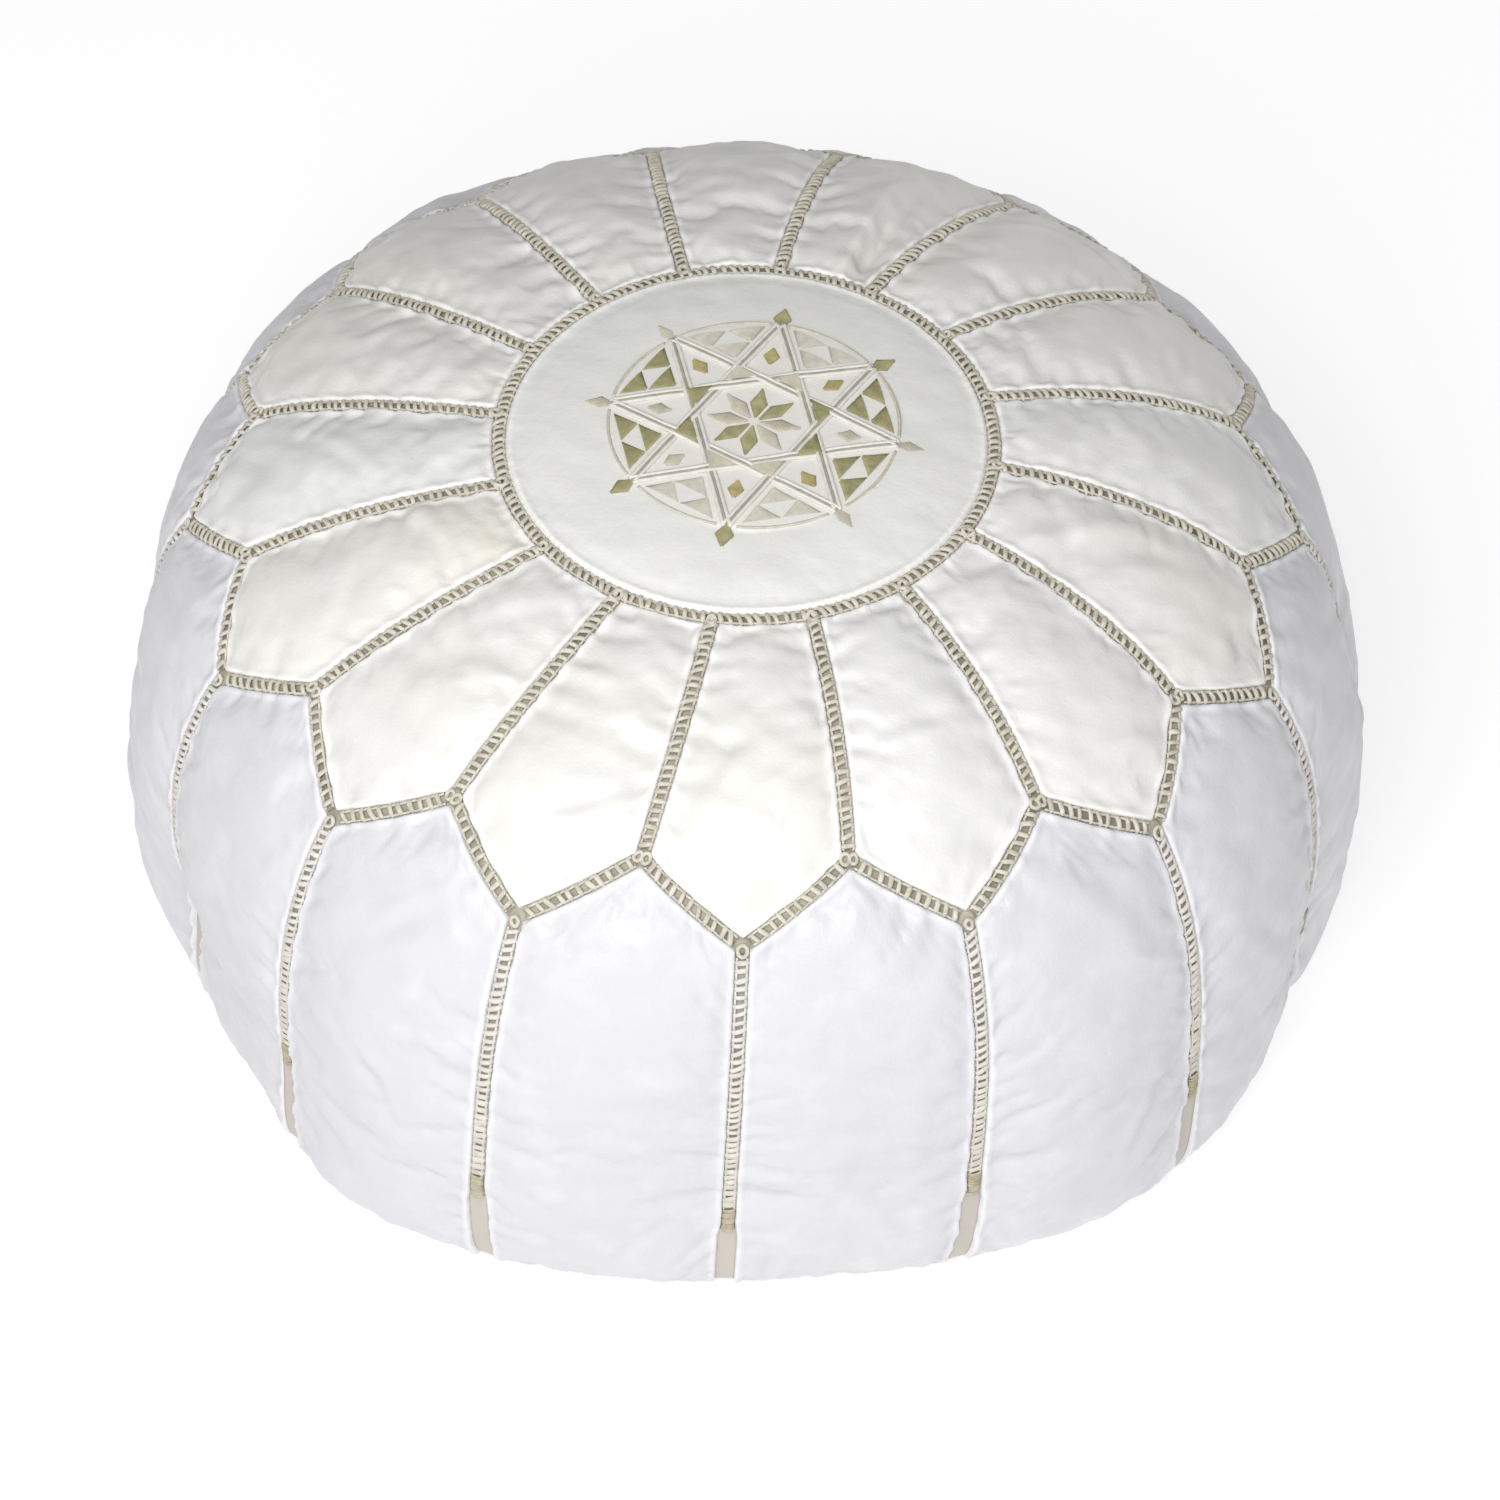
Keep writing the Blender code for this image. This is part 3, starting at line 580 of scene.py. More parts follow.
def cloth_of(panels):
    """Points, faces, held points and looseness of all panels in one cloth, and each panel's shape."""
    points, faces, pins, slack, shapes = [], [], [], [], []
    start = 0
    for panel in panels:
        columns, rows = UPPER_SIM if panel.upper else LOWER_SIM
        u, v = np.linspace(0.0, 1.0, columns), np.linspace(0.0, 1.0, rows)
        _, _, place = panel.surface(u, v)
        place = place + 0.0006 * waves_noise(place, 0.045, 7 + panel.seed)[..., None]
        nearest = np.minimum.reduce(panel.edge_distances(u, v))
        rim = np.ones((rows, columns), bool)
        rim[1:-1, 1:-1] = False
        loose = bell((nearest - 0.010) / 0.012)
        loose = loose * (0.55 + 0.45 * waves_noise(place, 0.03, 300 + panel.seed, 1))
        points.append(place.reshape(-1, 3))
        faces.append(grid_faces(rows, columns) + start)
        pins.append(np.flatnonzero(rim) + start)
        slack.append(np.clip(loose, 0.0, 1.0).ravel())
        shapes.append(place.shape)
        start += rows * columns
    return *map(np.concatenate, (points, faces, pins, slack)), shapes


def hold(group, members, weight):
    group.add([int(member) for member in members], weight, "REPLACE")


def simulate(panels):
    """Blows the cover up as cloth held along its seams; returns each panel's movement."""
    points, faces, pins, slack, shapes = cloth_of(panels)
    cloth_object = new_object("cover_cloth", points, faces)
    hold(cloth_object.vertex_groups.new(name="seams"), pins, 1.0)
    slack_group = cloth_object.vertex_groups.new(name="slack")
    for level in range(1, 11):
        hold(slack_group, np.flatnonzero(np.ceil(slack * 10.0) == level), level / 10.0)
    cloth = cloth_object.modifiers.new("Cloth", "CLOTH")
    for key, value in CLOTH.items():
        setattr(cloth.settings, key, value)
    cloth.settings.effector_weights.gravity = 0.0
    cloth.collision_settings.use_collision = False
    cloth.collision_settings.use_self_collision = False
    cloth.point_cache.frame_start = 1
    cloth.point_cache.frame_end = SIM_FRAMES
    scene = bpy.context.scene
    for number in range(1, SIM_FRAMES + 1):
        scene.frame_set(number)
    graph = bpy.context.evaluated_depsgraph_get()
    solved = cloth_object.evaluated_get(graph).to_mesh()
    after = np.zeros(len(points) * 3, np.float32)
    solved.vertices.foreach_get("co", after)
    scene.frame_set(1)
    bpy.data.objects.remove(cloth_object, do_unlink=True)
    moved = after.reshape(-1, 3) - points
    far = np.linalg.norm(moved, axis=1, keepdims=True)
    moved = moved * (SIM_CAP * np.tanh(far / SIM_CAP) / np.maximum(far, 1e-9))
    ends = np.cumsum([rows * columns for rows, columns, _ in shapes])
    return [part.reshape(shape) for part, shape in zip(np.split(moved, ends[:-1]), shapes)]


def cubic_weights(targets, count):
    """Rows of weights that sample a line of evenly spaced values with a smooth cubic."""
    places = np.clip(targets, 0.0, 1.0) * (count - 1)
    first = np.minimum(places.astype(int), count - 2)
    t = places - first
    shares = (
        -0.5 * t + t**2 - 0.5 * t**3,
        1.0 - 2.5 * t**2 + 1.5 * t**3,
        0.5 * t + 2.0 * t**2 - 1.5 * t**3,
        -0.5 * t**2 + 0.5 * t**3,
    )
    weights = np.zeros((len(targets), count))
    rows = np.arange(len(targets))
    for step, share in enumerate(shares):
        np.add.at(weights, (rows, np.clip(first + step - 1, 0, count - 1)), share)
    return weights


def stations(length, spacing, edge=(0.0006, 0.0012, 0.0018, 0.0025, 0.0033, 0.0044, 0.0058)):
    """Shares from 0 to 1, close together near both ends and evenly spaced between."""
    near = np.array((0.0,) + edge)
    count = max(int((length - 2.0 * near[-1]) / spacing), 2)
    middle = np.linspace(near[-1], length - near[-1], count)[1:-1]
    return np.concatenate((near, middle, (length - near)[::-1])) / length


def lip_and_tuck(nearest, walk):
    """Leather rolled over beside a seam: a lip pinched at each stitch, then a dive to the strip."""
    pinch = 0.5 + 0.5 * np.cos(TURN * walk / STITCH_PITCH)
    height, place, width = LIP
    depth, reach = TUCK
    lip = height * bell((nearest - place) / width) * (1.0 - LIP_PINCH * pinch)
    return lip - depth * bell(nearest / reach)


def creases(across, along, seed):
    """Soft folds that run across a panel: long, shallow, sharper on one side, and in patches."""
    plan = np.stack((0.28 * across, along, np.zeros_like(along)), axis=-1)
    plan[..., 1] += 0.004 * waves_noise(plan, 0.040, seed + 2, 2)
    waves = waves_noise(plan, 0.019, seed, 2)
    patches = smooth(0.35 + 0.9 * waves_noise(plan * 0.6, 0.05, seed + 1, 1))
    return (np.tanh(1.6 * waves) + 0.5 * waves) * patches


def drapes(across, along, seed):
    """Three long, soft folds that lie slantwise over a panel, where the hide was not pulled flat."""
    draw = np.random.default_rng(seed)
    middle = 0.5 * (along.min() + along.max())
    total = np.zeros_like(along)
    for _ in range(3):
        turn = draw.uniform(-1.1, 1.1)
        aside = across - draw.uniform(-0.02, 0.02)
        onward = along - middle - draw.uniform(-0.35, 0.35) * (along.max() - along.min())
        on = math.cos(turn) * aside + math.sin(turn) * onward
        off = math.cos(turn) * onward - math.sin(turn) * aside - 6.0 * on * on
        width = draw.uniform(0.0035, 0.0075)
        reach = draw.uniform(0.018, 0.034)
        crest = bell(off / width) - 0.7 * bell((off - 1.5 * width) / width)
        total = total + draw.choice((-1.0, 1.0)) * crest * bell(on / reach)
    return total


def deep_fold(panel, u, v):
    """A furrow that runs out from the medallion's seam, in one panel only."""
    index, across, along, depth = DEEP_FOLD
    if panel.seed != index:
        return 0.0
    u, v = np.meshgrid(u, v)
    off = (u - across - 0.25 * (v - along)) / 0.10
    return -depth * (bell(off) - 0.6 * bell(off - 1.6)) * bell((v - along) / 0.22)


def wrinkles(panel, u, v, place, run):
    """Everything that the hide's own folds and the stuffing's small lumps add to the cloth."""
    left, right, top, bottom = panel.edge_distances(u, v)
    nearest = np.minimum.reduce((left, right, top, bottom))
    aside = 0.5 * (left - right)
    pucker = 0.0006 * waves_noise(place, 0.012, 500 + panel.seed, 2) * np.exp(-nearest / 0.013)
    uneven = 0.0011 * waves_noise(place, 0.065, 700 + panel.seed, 3) * smooth(nearest / 0.010)
    folds = 0.00036 * creases(aside, run, 900 + panel.seed)
    folds = folds + 0.0010 * drapes(aside, run, 1500 + panel.seed) + deep_fold(panel, u, v)
    return pucker * smooth(nearest / 0.003) + uneven + folds * smooth(nearest / 0.006)


def panel_mesh(panel, movement, look):
    """The finished sheet of one panel, with rolled lips beside its seams."""
    width = PITCH * (0.165 if panel.upper else RADIUS)
    length = 0.115 if panel.upper else 0.230
    u, v = stations(width, FINE), stations(length, FINE)
    angle, run, place = panel.surface(u, v)
    if movement is not None:
        by_row = cubic_weights(v, movement.shape[0])
        by_column = cubic_weights(u, movement.shape[1])
        place = place + np.einsum("ri,ijk,cj->rck", by_row, movement, by_column)
    normal = unit(np.cross(np.gradient(place, axis=0), np.gradient(place, axis=1)))
    left, right, top, bottom = panel.edge_distances(u, v)
    nearest = np.minimum.reduce((left, right, top, bottom))
    walk = np.where(np.minimum(left, right) < np.minimum(top, bottom), run, angle * radius_at(run))
    rise = lip_and_tuck(nearest, walk) + wrinkles(panel, u, v, place, run)
    sheet = closed_sheet(place + normal * rise[..., None], normal, LEATHER)
    edge = np.tile(nearest.ravel(), 2)
    slot = "upper_leather" if panel.upper else "lower_leather"
    tone = np.full(len(edge), panel.tone)
    new_piece(panel.name + "_leather", sheet, look, slot, panel.name, edge=edge, tone=tone)


# Medallion


MEDALLION_EDGE = RUN_RING - BAND_HALF
SCORE_RUN = MEDALLION_EDGE - 0.0080


def medallion_rise(run):
    return -VALLEY * (run / RUN_RING) ** 6


def backing_rise(x, y):
    """The pad under the star stands a little proud of the medallion."""
    reach = np.hypot(x - STAR_CENTRE[0], y - STAR_CENTRE[1])
    return BACKING_RISE * smooth((BACKING_RADIUS - reach) / 0.0015 + 0.5)


def medallion_point(plan, rise=0.0):
    """Points over the medallion's face, above places in plan."""
    x, y = plan[..., 0], plan[..., 1]
    run = run_at_radius(np.hypot(x, y - SETTLE_Y))
    up = height_at(run) + medallion_rise(run) + backing_rise(x, y)
    return np.stack((x, y, up + rise), axis=-1)


def medallion_sheet(look):
    """The top disc: a gentle crown that dips to its seam, with a rolled lip and a scored circle."""
    shares = stations(2.0 * MEDALLION_EDGE, FINER)
    runs = MEDALLION_EDGE * np.abs(2.0 * shares[: len(shares) // 2] - 1.0)
    runs = np.append(runs[runs > 0.001], 0.0005)[::-1]
    angle, run = np.meshgrid(around(480), runs)
    place = cover(angle, run, medallion_rise(run))
    nearest = MEDALLION_EDGE - run
    scored = -0.0004 * bell((run - SCORE_RUN) / 0.0006)
    uneven = 0.0007 * waves_noise(place, 0.07, 41, 3) * smooth(nearest / 0.015)
    pucker = 0.0004 * waves_noise(place, 0.012, 43, 2) * np.exp(-nearest / 0.010)
    backing = backing_rise(place[..., 0], place[..., 1])
    place[..., 2] += lip_and_tuck(nearest, angle * RING_RADIUS) + scored + uneven * (backing < 1e-5)
    place[..., 2] += pucker * smooth(nearest / 0.003) + backing
    points, faces = tube(np.concatenate((place, place[::-1] - LEATHER * UPRIGHT)))
    edge = np.append(np.concatenate((nearest, nearest[::-1])), (MEDALLION_EDGE, MEDALLION_EDGE))
    tone = np.append(np.concatenate((backing, backing[::-1])) / BACKING_RISE, (1.0, 1.0))
    name = slot = "medallion_leather"
    new_piece(name, (points, faces[:, ::-1]), look, slot, "top_medallion", edge=edge, tone=tone)


# The star


def star_direction(index):
    angle = STAR_TURN + TURN * index / STAR_POINTS
    return np.array((math.cos(angle), math.sin(angle)))


def star_place(direction, out, aside=0.0):
    """A place in plan, out along a direction and aside from it, in star radii."""
    across = np.array((-direction[1], direction[0]))
    return np.array(STAR_CENTRE) + STAR_RADIUS * (out * direction + aside * across)


def diamond(direction, out, half_length, half_width):
    corners = ((out + half_length, 0.0), (out, half_width), (out - half_length, 0.0), (out, -half_width))
    return [star_place(direction, *corner) for corner in corners]


def inset(corners, share):
    middle = np.mean(corners, axis=0)
    return [corner + (middle - corner) * share for corner in corners]


def satin(corners, direction, rise=-0.0001):
    """Parallel threads laid across a shape with straight sides, each arched a little."""
    corners = np.asarray(corners)
    heights = corners @ direction
    sides = list(zip(corners, np.roll(corners, -1, axis=0), heights, np.roll(heights, -1)))
    share = np.linspace(0.0, 1.0, 7)[:, None]
    arch = 0.0007 * (1.0 - np.abs(2.0 * share[:, 0] - 1.0) ** 3)
    threads = []
    for level in np.arange(heights.min() + 0.5 * THREAD_PITCH, heights.max(), THREAD_PITCH):
        ends = [
            here + (there - here) * (level - low) / (high - low)
            for here, there, low, high in sides
            if (low - level) * (high - level) < 0.0
        ]
        if len(ends) != 2 or np.linalg.norm(ends[1] - ends[0]) < THREAD_PITCH:
            continue
        path = medallion_point(ends[0] + (ends[1] - ends[0]) * share, arch + rise)
        threads.append(cord(path, UPRIGHT, 0.55 * THREAD_PITCH, 0.45 * THREAD_PITCH))
    return threads


def star_line(index):
    """One straight run of the star: a grey line between two cream cords, woven over and under."""
    start, end = (star_place(star_direction(tip), 0.93) for tip in (index, index + STAR_STEP))
    step = unit(end - start)
    aside = np.array((-step[1], step[0]))
    share = np.linspace(0.0, 1.0, 90)
    from_middle = (share - 0.5) * np.linalg.norm(end - start) / STAR_RADIUS
    weave = sum(sign * bell((from_middle - at) / 0.055) for at, sign in OVER_UNDER)
    middle = start + (end - start) * share[:, None]
    left, line, right = (
        medallion_point(middle + aside * sideways, 0.0006 + CORD_WEAVE * weave)
        for sideways in (-CORD_ASIDE, 0.0, CORD_ASIDE)
    )
    cords = [cord(path, UPRIGHT, 0.0009, 0.0008, 8) for path in (left, right)]
    return cords, [cord(line, UPRIGHT, 0.0006, 0.0005)]


def wedge_triangles(middle):
    """Three filled triangles round an open one, between two points of the star."""
    tip = star_place(middle, 0.590)
    left = star_place(middle, 0.860, 0.262)
    right = star_place(middle, 0.860, -0.262)
    sides = (0.5 * (tip + left), 0.5 * (tip + right), 0.5 * (left + right))
    triangles = ((tip, sides[0], sides[1]), (sides[0], left, sides[2]), (sides[1], sides[2], right))
    return [inset(triangle, 0.05) for triangle in triangles]


def backing_edge(middle):
    """An eighth of the thread round the pad under the star."""
    swing = np.radians(np.linspace(-18.5, 18.5, 40)) + math.atan2(middle[1], middle[0])
    circle = np.stack((np.cos(swing), np.sin(swing)), axis=-1)
    path = medallion_point(np.array(STAR_CENTRE) + BACKING_RADIUS * circle, 0.0003)
    return cord(path, UPRIGHT, 0.0007, 0.0006)


def build_star(looks):
    """All the needlework, sorted by the colour of its thread."""
    parts = {shade: [] for shade in ("olive", "gold", "beige", "pale", "grey", "cream")}
    for index in range(STAR_POINTS):
        tip, middle, following = (star_direction(index + step) for step in (0.0, 0.5, 1.0))
        # The olive, beige and pale of tips, inner triangles and wedges follow the stitches' direction:
        # painted sheen
        parts[TIP_PAINTED_SHEEN_SHADES[index]] += satin(diamond(tip, 1.00, 0.105, 0.062), tip)
        parts[POINT_SHADES[index]] += satin(diamond(tip, 0.615, 0.085, 0.055), tip)
        parts[TIP_PAINTED_SHEEN_SHADES[index]] += satin(diamond(tip, 0.170, 0.140, 0.058), tip)
        inner = (star_place(middle, 0.5412), star_place(tip, 0.4142), star_place(following, 0.4142))
        parts[INNER_PAINTED_SHEEN_SHADES[index]] += satin(inset(inner, 0.20), middle, 0.0009)
        for triangle in wedge_triangles(middle):
            parts[WEDGE_PAINTED_SHEEN_SHADES[index]] += satin(triangle, middle)
        cords, lines = star_line(index)
        parts["cream"] += cords
        parts["grey"] += lines
        parts["beige"].append(backing_edge(middle))
    for shade, threads in parts.items():
        name = f"needlework_{shade}"
        new_piece(name, join(threads), looks[name], "needlework_thread", "medallion_needlework")


# Seams


class Seam:
    """A seam as a line of places on the cover, with its length walked in metres."""

    def __init__(self, angles, runs, pieces=60):
        self.angle = np.linspace(*angles, pieces)
        self.run = np.linspace(*runs, pieces)
        self.points = cover(self.angle, self.run, -valley_at(self.run))
        steps = np.linalg.norm(np.diff(self.points, axis=0), axis=1)
        self.walk = np.append(0.0, np.cumsum(steps))
        self.length = float(self.walk[-1])

    def on_line(self, distances):
        """Points on the straight pieces between the seam's places."""
        distances = np.clip(distances, 0.0, self.length)
        return np.stack([np.interp(distances, self.walk, line) for line in self.points.T], axis=-1)

    def frames(self, distances):
        """Point, direction along, direction across and outward normal at some distances."""
        angle = np.interp(distances, self.walk, self.angle)
        run = np.interp(distances, self.walk, self.run)
        point = cover(angle, run, -valley_at(run))
        outward = unit(cover(angle, run, 0.002 - valley_at(run)) - point)
        reach = 0.002
        along = unit(self.on_line(distances + reach) - self.on_line(distances - reach))
        across = unit(np.cross(along, outward))
        return point, along, across, np.cross(across, along)


def ribbon(seam, half_width=STRIP_HALF, rise=-STRIP_SINK, closed=False):
    """A flat strip along a seam, as points and faces of a closed bar."""
    count = max(int(seam.length / 0.002), 2)
    distances = np.linspace(0.0, seam.length, count, endpoint=not closed)
    point, _, across, outward = seam.frames(distances)
    widths = np.broadcast_to(half_width, seam.walk.shape)
    across = across * np.interp(distances, seam.walk, widths)[:, None]
    shares = np.linspace(-1.0, 1.0, 7)
    section = [(share, rise - 0.0002 * (1.0 - share**2)) for share in shares]
    section += [(share, rise - STRIP_THICKNESS) for share in shares[::-2]]
    rings = [point + across * sideways + outward * up for sideways, up in section]
    return tube(np.stack(rings, axis=1), closed)


def stitches(seam, seed, pitch=STITCH_PITCH, radius=STITCH_RADIUS, slant=STITCH_SLANT, worn_from=2.0):
    """Threads whipped across a seam, each a flattened cord that dives into the leather.

    They are rubbed flat and wide beyond a share of the seam's length.
    """
    draw = np.random.default_rng(seed)
    count = max(int(round(seam.length / pitch)), 1)
    distances = (np.arange(count) + 0.5) * seam.length / count
    distances = distances + draw.uniform(-0.12, 0.12, count) * pitch
    worn = smooth((distances / seam.length - worn_from) / WORN_FADE)
    stretch = np.linspace(-1.0, 1.0, 9)
    arch = STITCH_ARCH * (1.0 - np.abs(stretch) ** 3.5) - STITCH_DIVE * stretch**6 + STITCH_LIFT
    parts = []
    for rubbed, point, along, across, outward in zip(worn, *seam.frames(distances)):
        wide = (BAND_HALF + STITCH_OVERLAP) * draw.uniform(0.92, 1.08)
        thick = radius * draw.uniform(0.82, 1.12) * (1.0 + 0.50 * rubbed)
        lean = slant * draw.uniform(0.1, 1.9)
        taper = thick * (0.70 + 0.30 * (1.0 - stretch**4))
        path = point + np.outer(stretch * wide, across + lean * along)
        path = path + np.outer(arch * (1.0 - 0.45 * rubbed), outward)
        parts.append(cord(path, outward, taper, 0.75 * taper * (1.0 - 0.5 * rubbed), 8))
    return join(parts)


def rails(seam, pitch=STITCH_PITCH):
    """Thread that runs down both sides of a seam and locks the ends of its stitches."""
    distances = np.linspace(0.0, seam.length, max(int(seam.length / 0.0012), 3))
    point, _, across, outward = seam.frames(distances)
    swell = np.cos(TURN * distances / pitch)[:, None]
    aside = across * (BAND_HALF - 0.0001 + 0.00015 * swell)
    path = point + outward * (0.0006 + 0.0002 * swell)
    return join([cord(path + side * aside, outward, RAIL_RADIUS, RAIL_RADIUS) for side in (-1.0, 1.0)])


def patch_place(angle, run, sideways, onward, rise):
    """A place near a junction, sideways and onward from it along the cover."""
    here = run + onward
    return cover(angle + sideways / radius_at(here), here, rise - valley_at(here))


def junction_hub(angle, run):
    """A rounded patch of strip leather under a junction of seams."""
    turn = -around(20)
    section = ((0.05, 0.0001), (0.5, 0.0001), (1.0, -0.0004), (1.0, -0.0012), (0.05, -0.0012))
    rings = [
        patch_place(angle, run, share * HUB_REACH * np.sin(turn), share * HUB_REACH * np.cos(turn), rise)
        for share, rise in section
    ]
    return tube(np.stack(rings))


def junction_loop(angle, run, sideways, onward, rise, draw):
    """A small open loop of thread at a junction, no two quite alike."""
    turn = around(28)
    size = draw.uniform(0.85, 1.15)
    slew = draw.uniform(-0.5, 0.5)
    wide = LOOP_HALF[0] * size * np.sin(turn)
    long = LOOP_HALF[1] * size * np.cos(turn)
    aside = sideways + wide * math.cos(slew) - long * math.sin(slew)
    further = onward + wide * math.sin(slew) + long * math.cos(slew)
    path = patch_place(angle, run, aside, further, rise + 0.0004 * np.cos(2.0 * turn + slew))
    low, high = (patch_place(angle, run, sideways, onward, height) for height in (0.0, 0.003))
    return cord(path, unit(high - low), LOOP_RADIUS, LOOP_RADIUS, 8, closed=True)


def seam_quarter(quarter):
    """Strips, threads and knots of a quarter of the cover."""
    strips, threads, knots = [], [], []

    def whip(seam, seed, pitch=STITCH_PITCH, worn_from=2.0):
        threads.extend((stitches(seam, seed, pitch, worn_from=worn_from), rails(seam, pitch)))

    share = PANELS // 4
    draw = np.random.default_rng(2000 + quarter)
    for index in range(quarter * share, (quarter + 1) * share):
        shoulder = (index + 0.5) * PITCH
        straight = (shoulder, shoulder)
        strips.append(ribbon(Seam(straight, (RUN_RING + RING_GAP, RUN_SHOULDER))))
        runs = (RUN_RING + BAND_HALF + RING_GAP, RUN_SHOULDER - SHOULDER_GAP)
        whip(Seam(straight, runs), 1000 + index)
        for side in (0, 1):
            angles = (shoulder, shoulder + (side - 0.5) * PITCH)
            runs = (RUN_SHOULDER, RUN_APEX)
            strips.append(ribbon(Seam(angles, runs), rise=-0.0003))
            inner = [start + (end - start) * V_SHARES for start, end in (angles, runs)]
            whip(Seam(*inner), 1100 + 2 * index + side, V_STITCH_PITCH)
        point = index * PITCH
        straight = (point, point)
        fall = Seam(straight, (RUN_APEX, RUN_FOOT - 0.001), 160)
        opened = bare_share(point, fall.run)
        strips.append(ribbon(fall, STRIP_HALF + (BARE_STRIP_HALF - STRIP_HALF) * opened))
        knee = run_at_height(knot_height(point))
        worn_from = WORN_FROM - WORN_STEP * min(index, PANELS - index, 2)
        fall = Seam(straight, (RUN_APEX + APEX_GAP, knee - KNOT_HALF), 120)
        whip(fall, 1200 + index, worn_from=worn_from)
        knot = Seam(straight, (knee - KNOT_HALF, knee + KNOT_HALF))
        knots.append(stitches(knot, 1400 + index, KNOT_PITCH, KNOT_RADIUS, 0.05))
        strips.append(junction_hub(shoulder, RUN_SHOULDER))
        strips.append(junction_hub(point, RUN_APEX))
        loops = (
            (shoulder, RUN_SHOULDER, -0.0017, 0.0, LOOP_RISE),
            (shoulder, RUN_SHOULDER, 0.0018, 0.0004, LOOP_RISE),
            (shoulder, RUN_RING, 0.0, 0.0020, 1.5 * LOOP_RISE),
            (point, RUN_APEX, 0.0, 0.0018, LOOP_RISE),
        )
        threads += [junction_loop(*loop, draw) for loop in loops]
    return join(strips), join(threads), join(knots)


def way_down(points):
    """How far down a lower seam some points are: 0 at its top end, 1 at its knot."""
    knot = knot_height(np.arctan2(points[:, 0], -points[:, 1]))
    return (APEX_Z - points[:, 2]) / (APEX_Z - knot)


def strip_tone(points):
    """How far a strip turns from its darker stitched colour, dirt and painted shade, to the paler bare
    one: more and more down the lower seams, and wholly below their knots, where it lies bare.
    """
    down = way_down(points)
    return 0.5 * smooth(down / 0.08) + 0.2 * np.clip(down, 0.0, 1.0) + 0.3 * smooth((down - 1.0) / 0.04)


def thread_tone(points):
    """How pale the threads are: rubbed in the lower seams, most of all at their top ends."""
    down = way_down(points)
    return smooth(down / 0.08) * (0.55 - 0.42 * np.clip(down, 0.0, 1.0))


def build_seams(strip_look, thread_look, knot_look):
    for number in (1, 2, 3, 4):
        strips, threads, knots = seam_quarter(number - 1)
        node, tone = f"seam_strip_{number}", strip_tone(strips[0])
        new_piece(f"seam_strips_{number}", strips, strip_look, "strip_leather", node, tone=tone)
        node, tone = f"seam_stitching_{number}", thread_tone(threads[0])
        new_piece(f"seam_threads_{number}", threads, thread_look, "waxed_thread", node, tone=tone)
        new_piece(f"seam_knots_{number}", knots, knot_look, "waxed_thread", node)
    seam = Seam((0.0, TURN), (RUN_RING, RUN_RING), 361)
    band = ribbon(seam, closed=True)
    tone = strip_tone(band[0])
    new_piece("medallion_band", band, strip_look, "strip_leather", "medallion_strip", tone=tone)
    threads = join((stitches(seam, 1300), rails(seam)))
    new_piece("medallion_threads", threads, thread_look, "waxed_thread", "medallion_stitching")


# Underside and stuffing


def base_seam(look):
    """Thread whipped round the foot of the cover, from the lower panels under to the base."""
    share = np.linspace(0.0, 1.0, 9)[:, None]
    up = UPRIGHT * (0.0012 + 0.0035 * (2.0 * share - 1.0) ** 4)
    parts = []
    for angle in around(BASE_STITCHES):
        foot = cover(angle, RUN_FOOT, -0.0026)
        outward = outward_at(angle)
        reach = math.hypot(foot[0], foot[1])
        out = reach + (BASE_RADIUS - 0.004 - reach) * smooth(share)
        sideways = np.cross(UPRIGHT, outward)
        path = outward * out + up + sideways * 0.0015 * (share - 0.5)
        parts.append(cord(path, np.cross(outward, sideways), 0.0009, 0.0007))
    new_piece("base_threads", join(parts), look, "waxed_thread", "base_stitching")


def base_hem(look):
    """The hem of the lower panels, turned under the foot to meet the base behind its stitching."""
    angle = around(320)
    foot = cover(angle, RUN_FOOT, -HEM_LOW)
    outer = np.hypot(foot[:, 0], foot[:, 1]) + 0.002
    inner = np.full_like(outer, BASE_RADIUS - 0.008)
    section = ((inner, HEM_HIGH), (outer, HEM_HIGH), (outer, HEM_LOW), (inner, HEM_LOW))
    rings = [outward_at(angle) * out[:, None] + UPRIGHT * up for out, up in section]
    new_piece("base_hem", tube(np.stack(rings, axis=1), closed=True), look, "lower_leather")


def stuffing(look):
    """Cotton batting that fills the cover, a little lumpy, flat underneath."""
    angle, run = np.meshgrid(around(160), np.linspace(0.004, RUN_FOOT, 70))
    place = cover(angle, run, -STUFFING_DEPTH)
    outward = cover(angle, run, 0.001 - STUFFING_DEPTH) - place
    place = place + 0.7 * outward * waves_noise(place, 0.05, 61, 3)[..., None]
    place[..., 2] = np.maximum(place[..., 2], STUFFING_FOOT)
    foot = place[-1] * (1.0, 1.0, 0.0)
    under = [share * foot + STUFFING_FOOT * UPRIGHT for share in (0.95, 0.7, 0.35, 0.02)]
    points, faces = tube(np.concatenate((place, under)))
    new_piece("cotton_stuffing", (points, faces[:, ::-1]), look, "stuffing", "filling")


# Materials


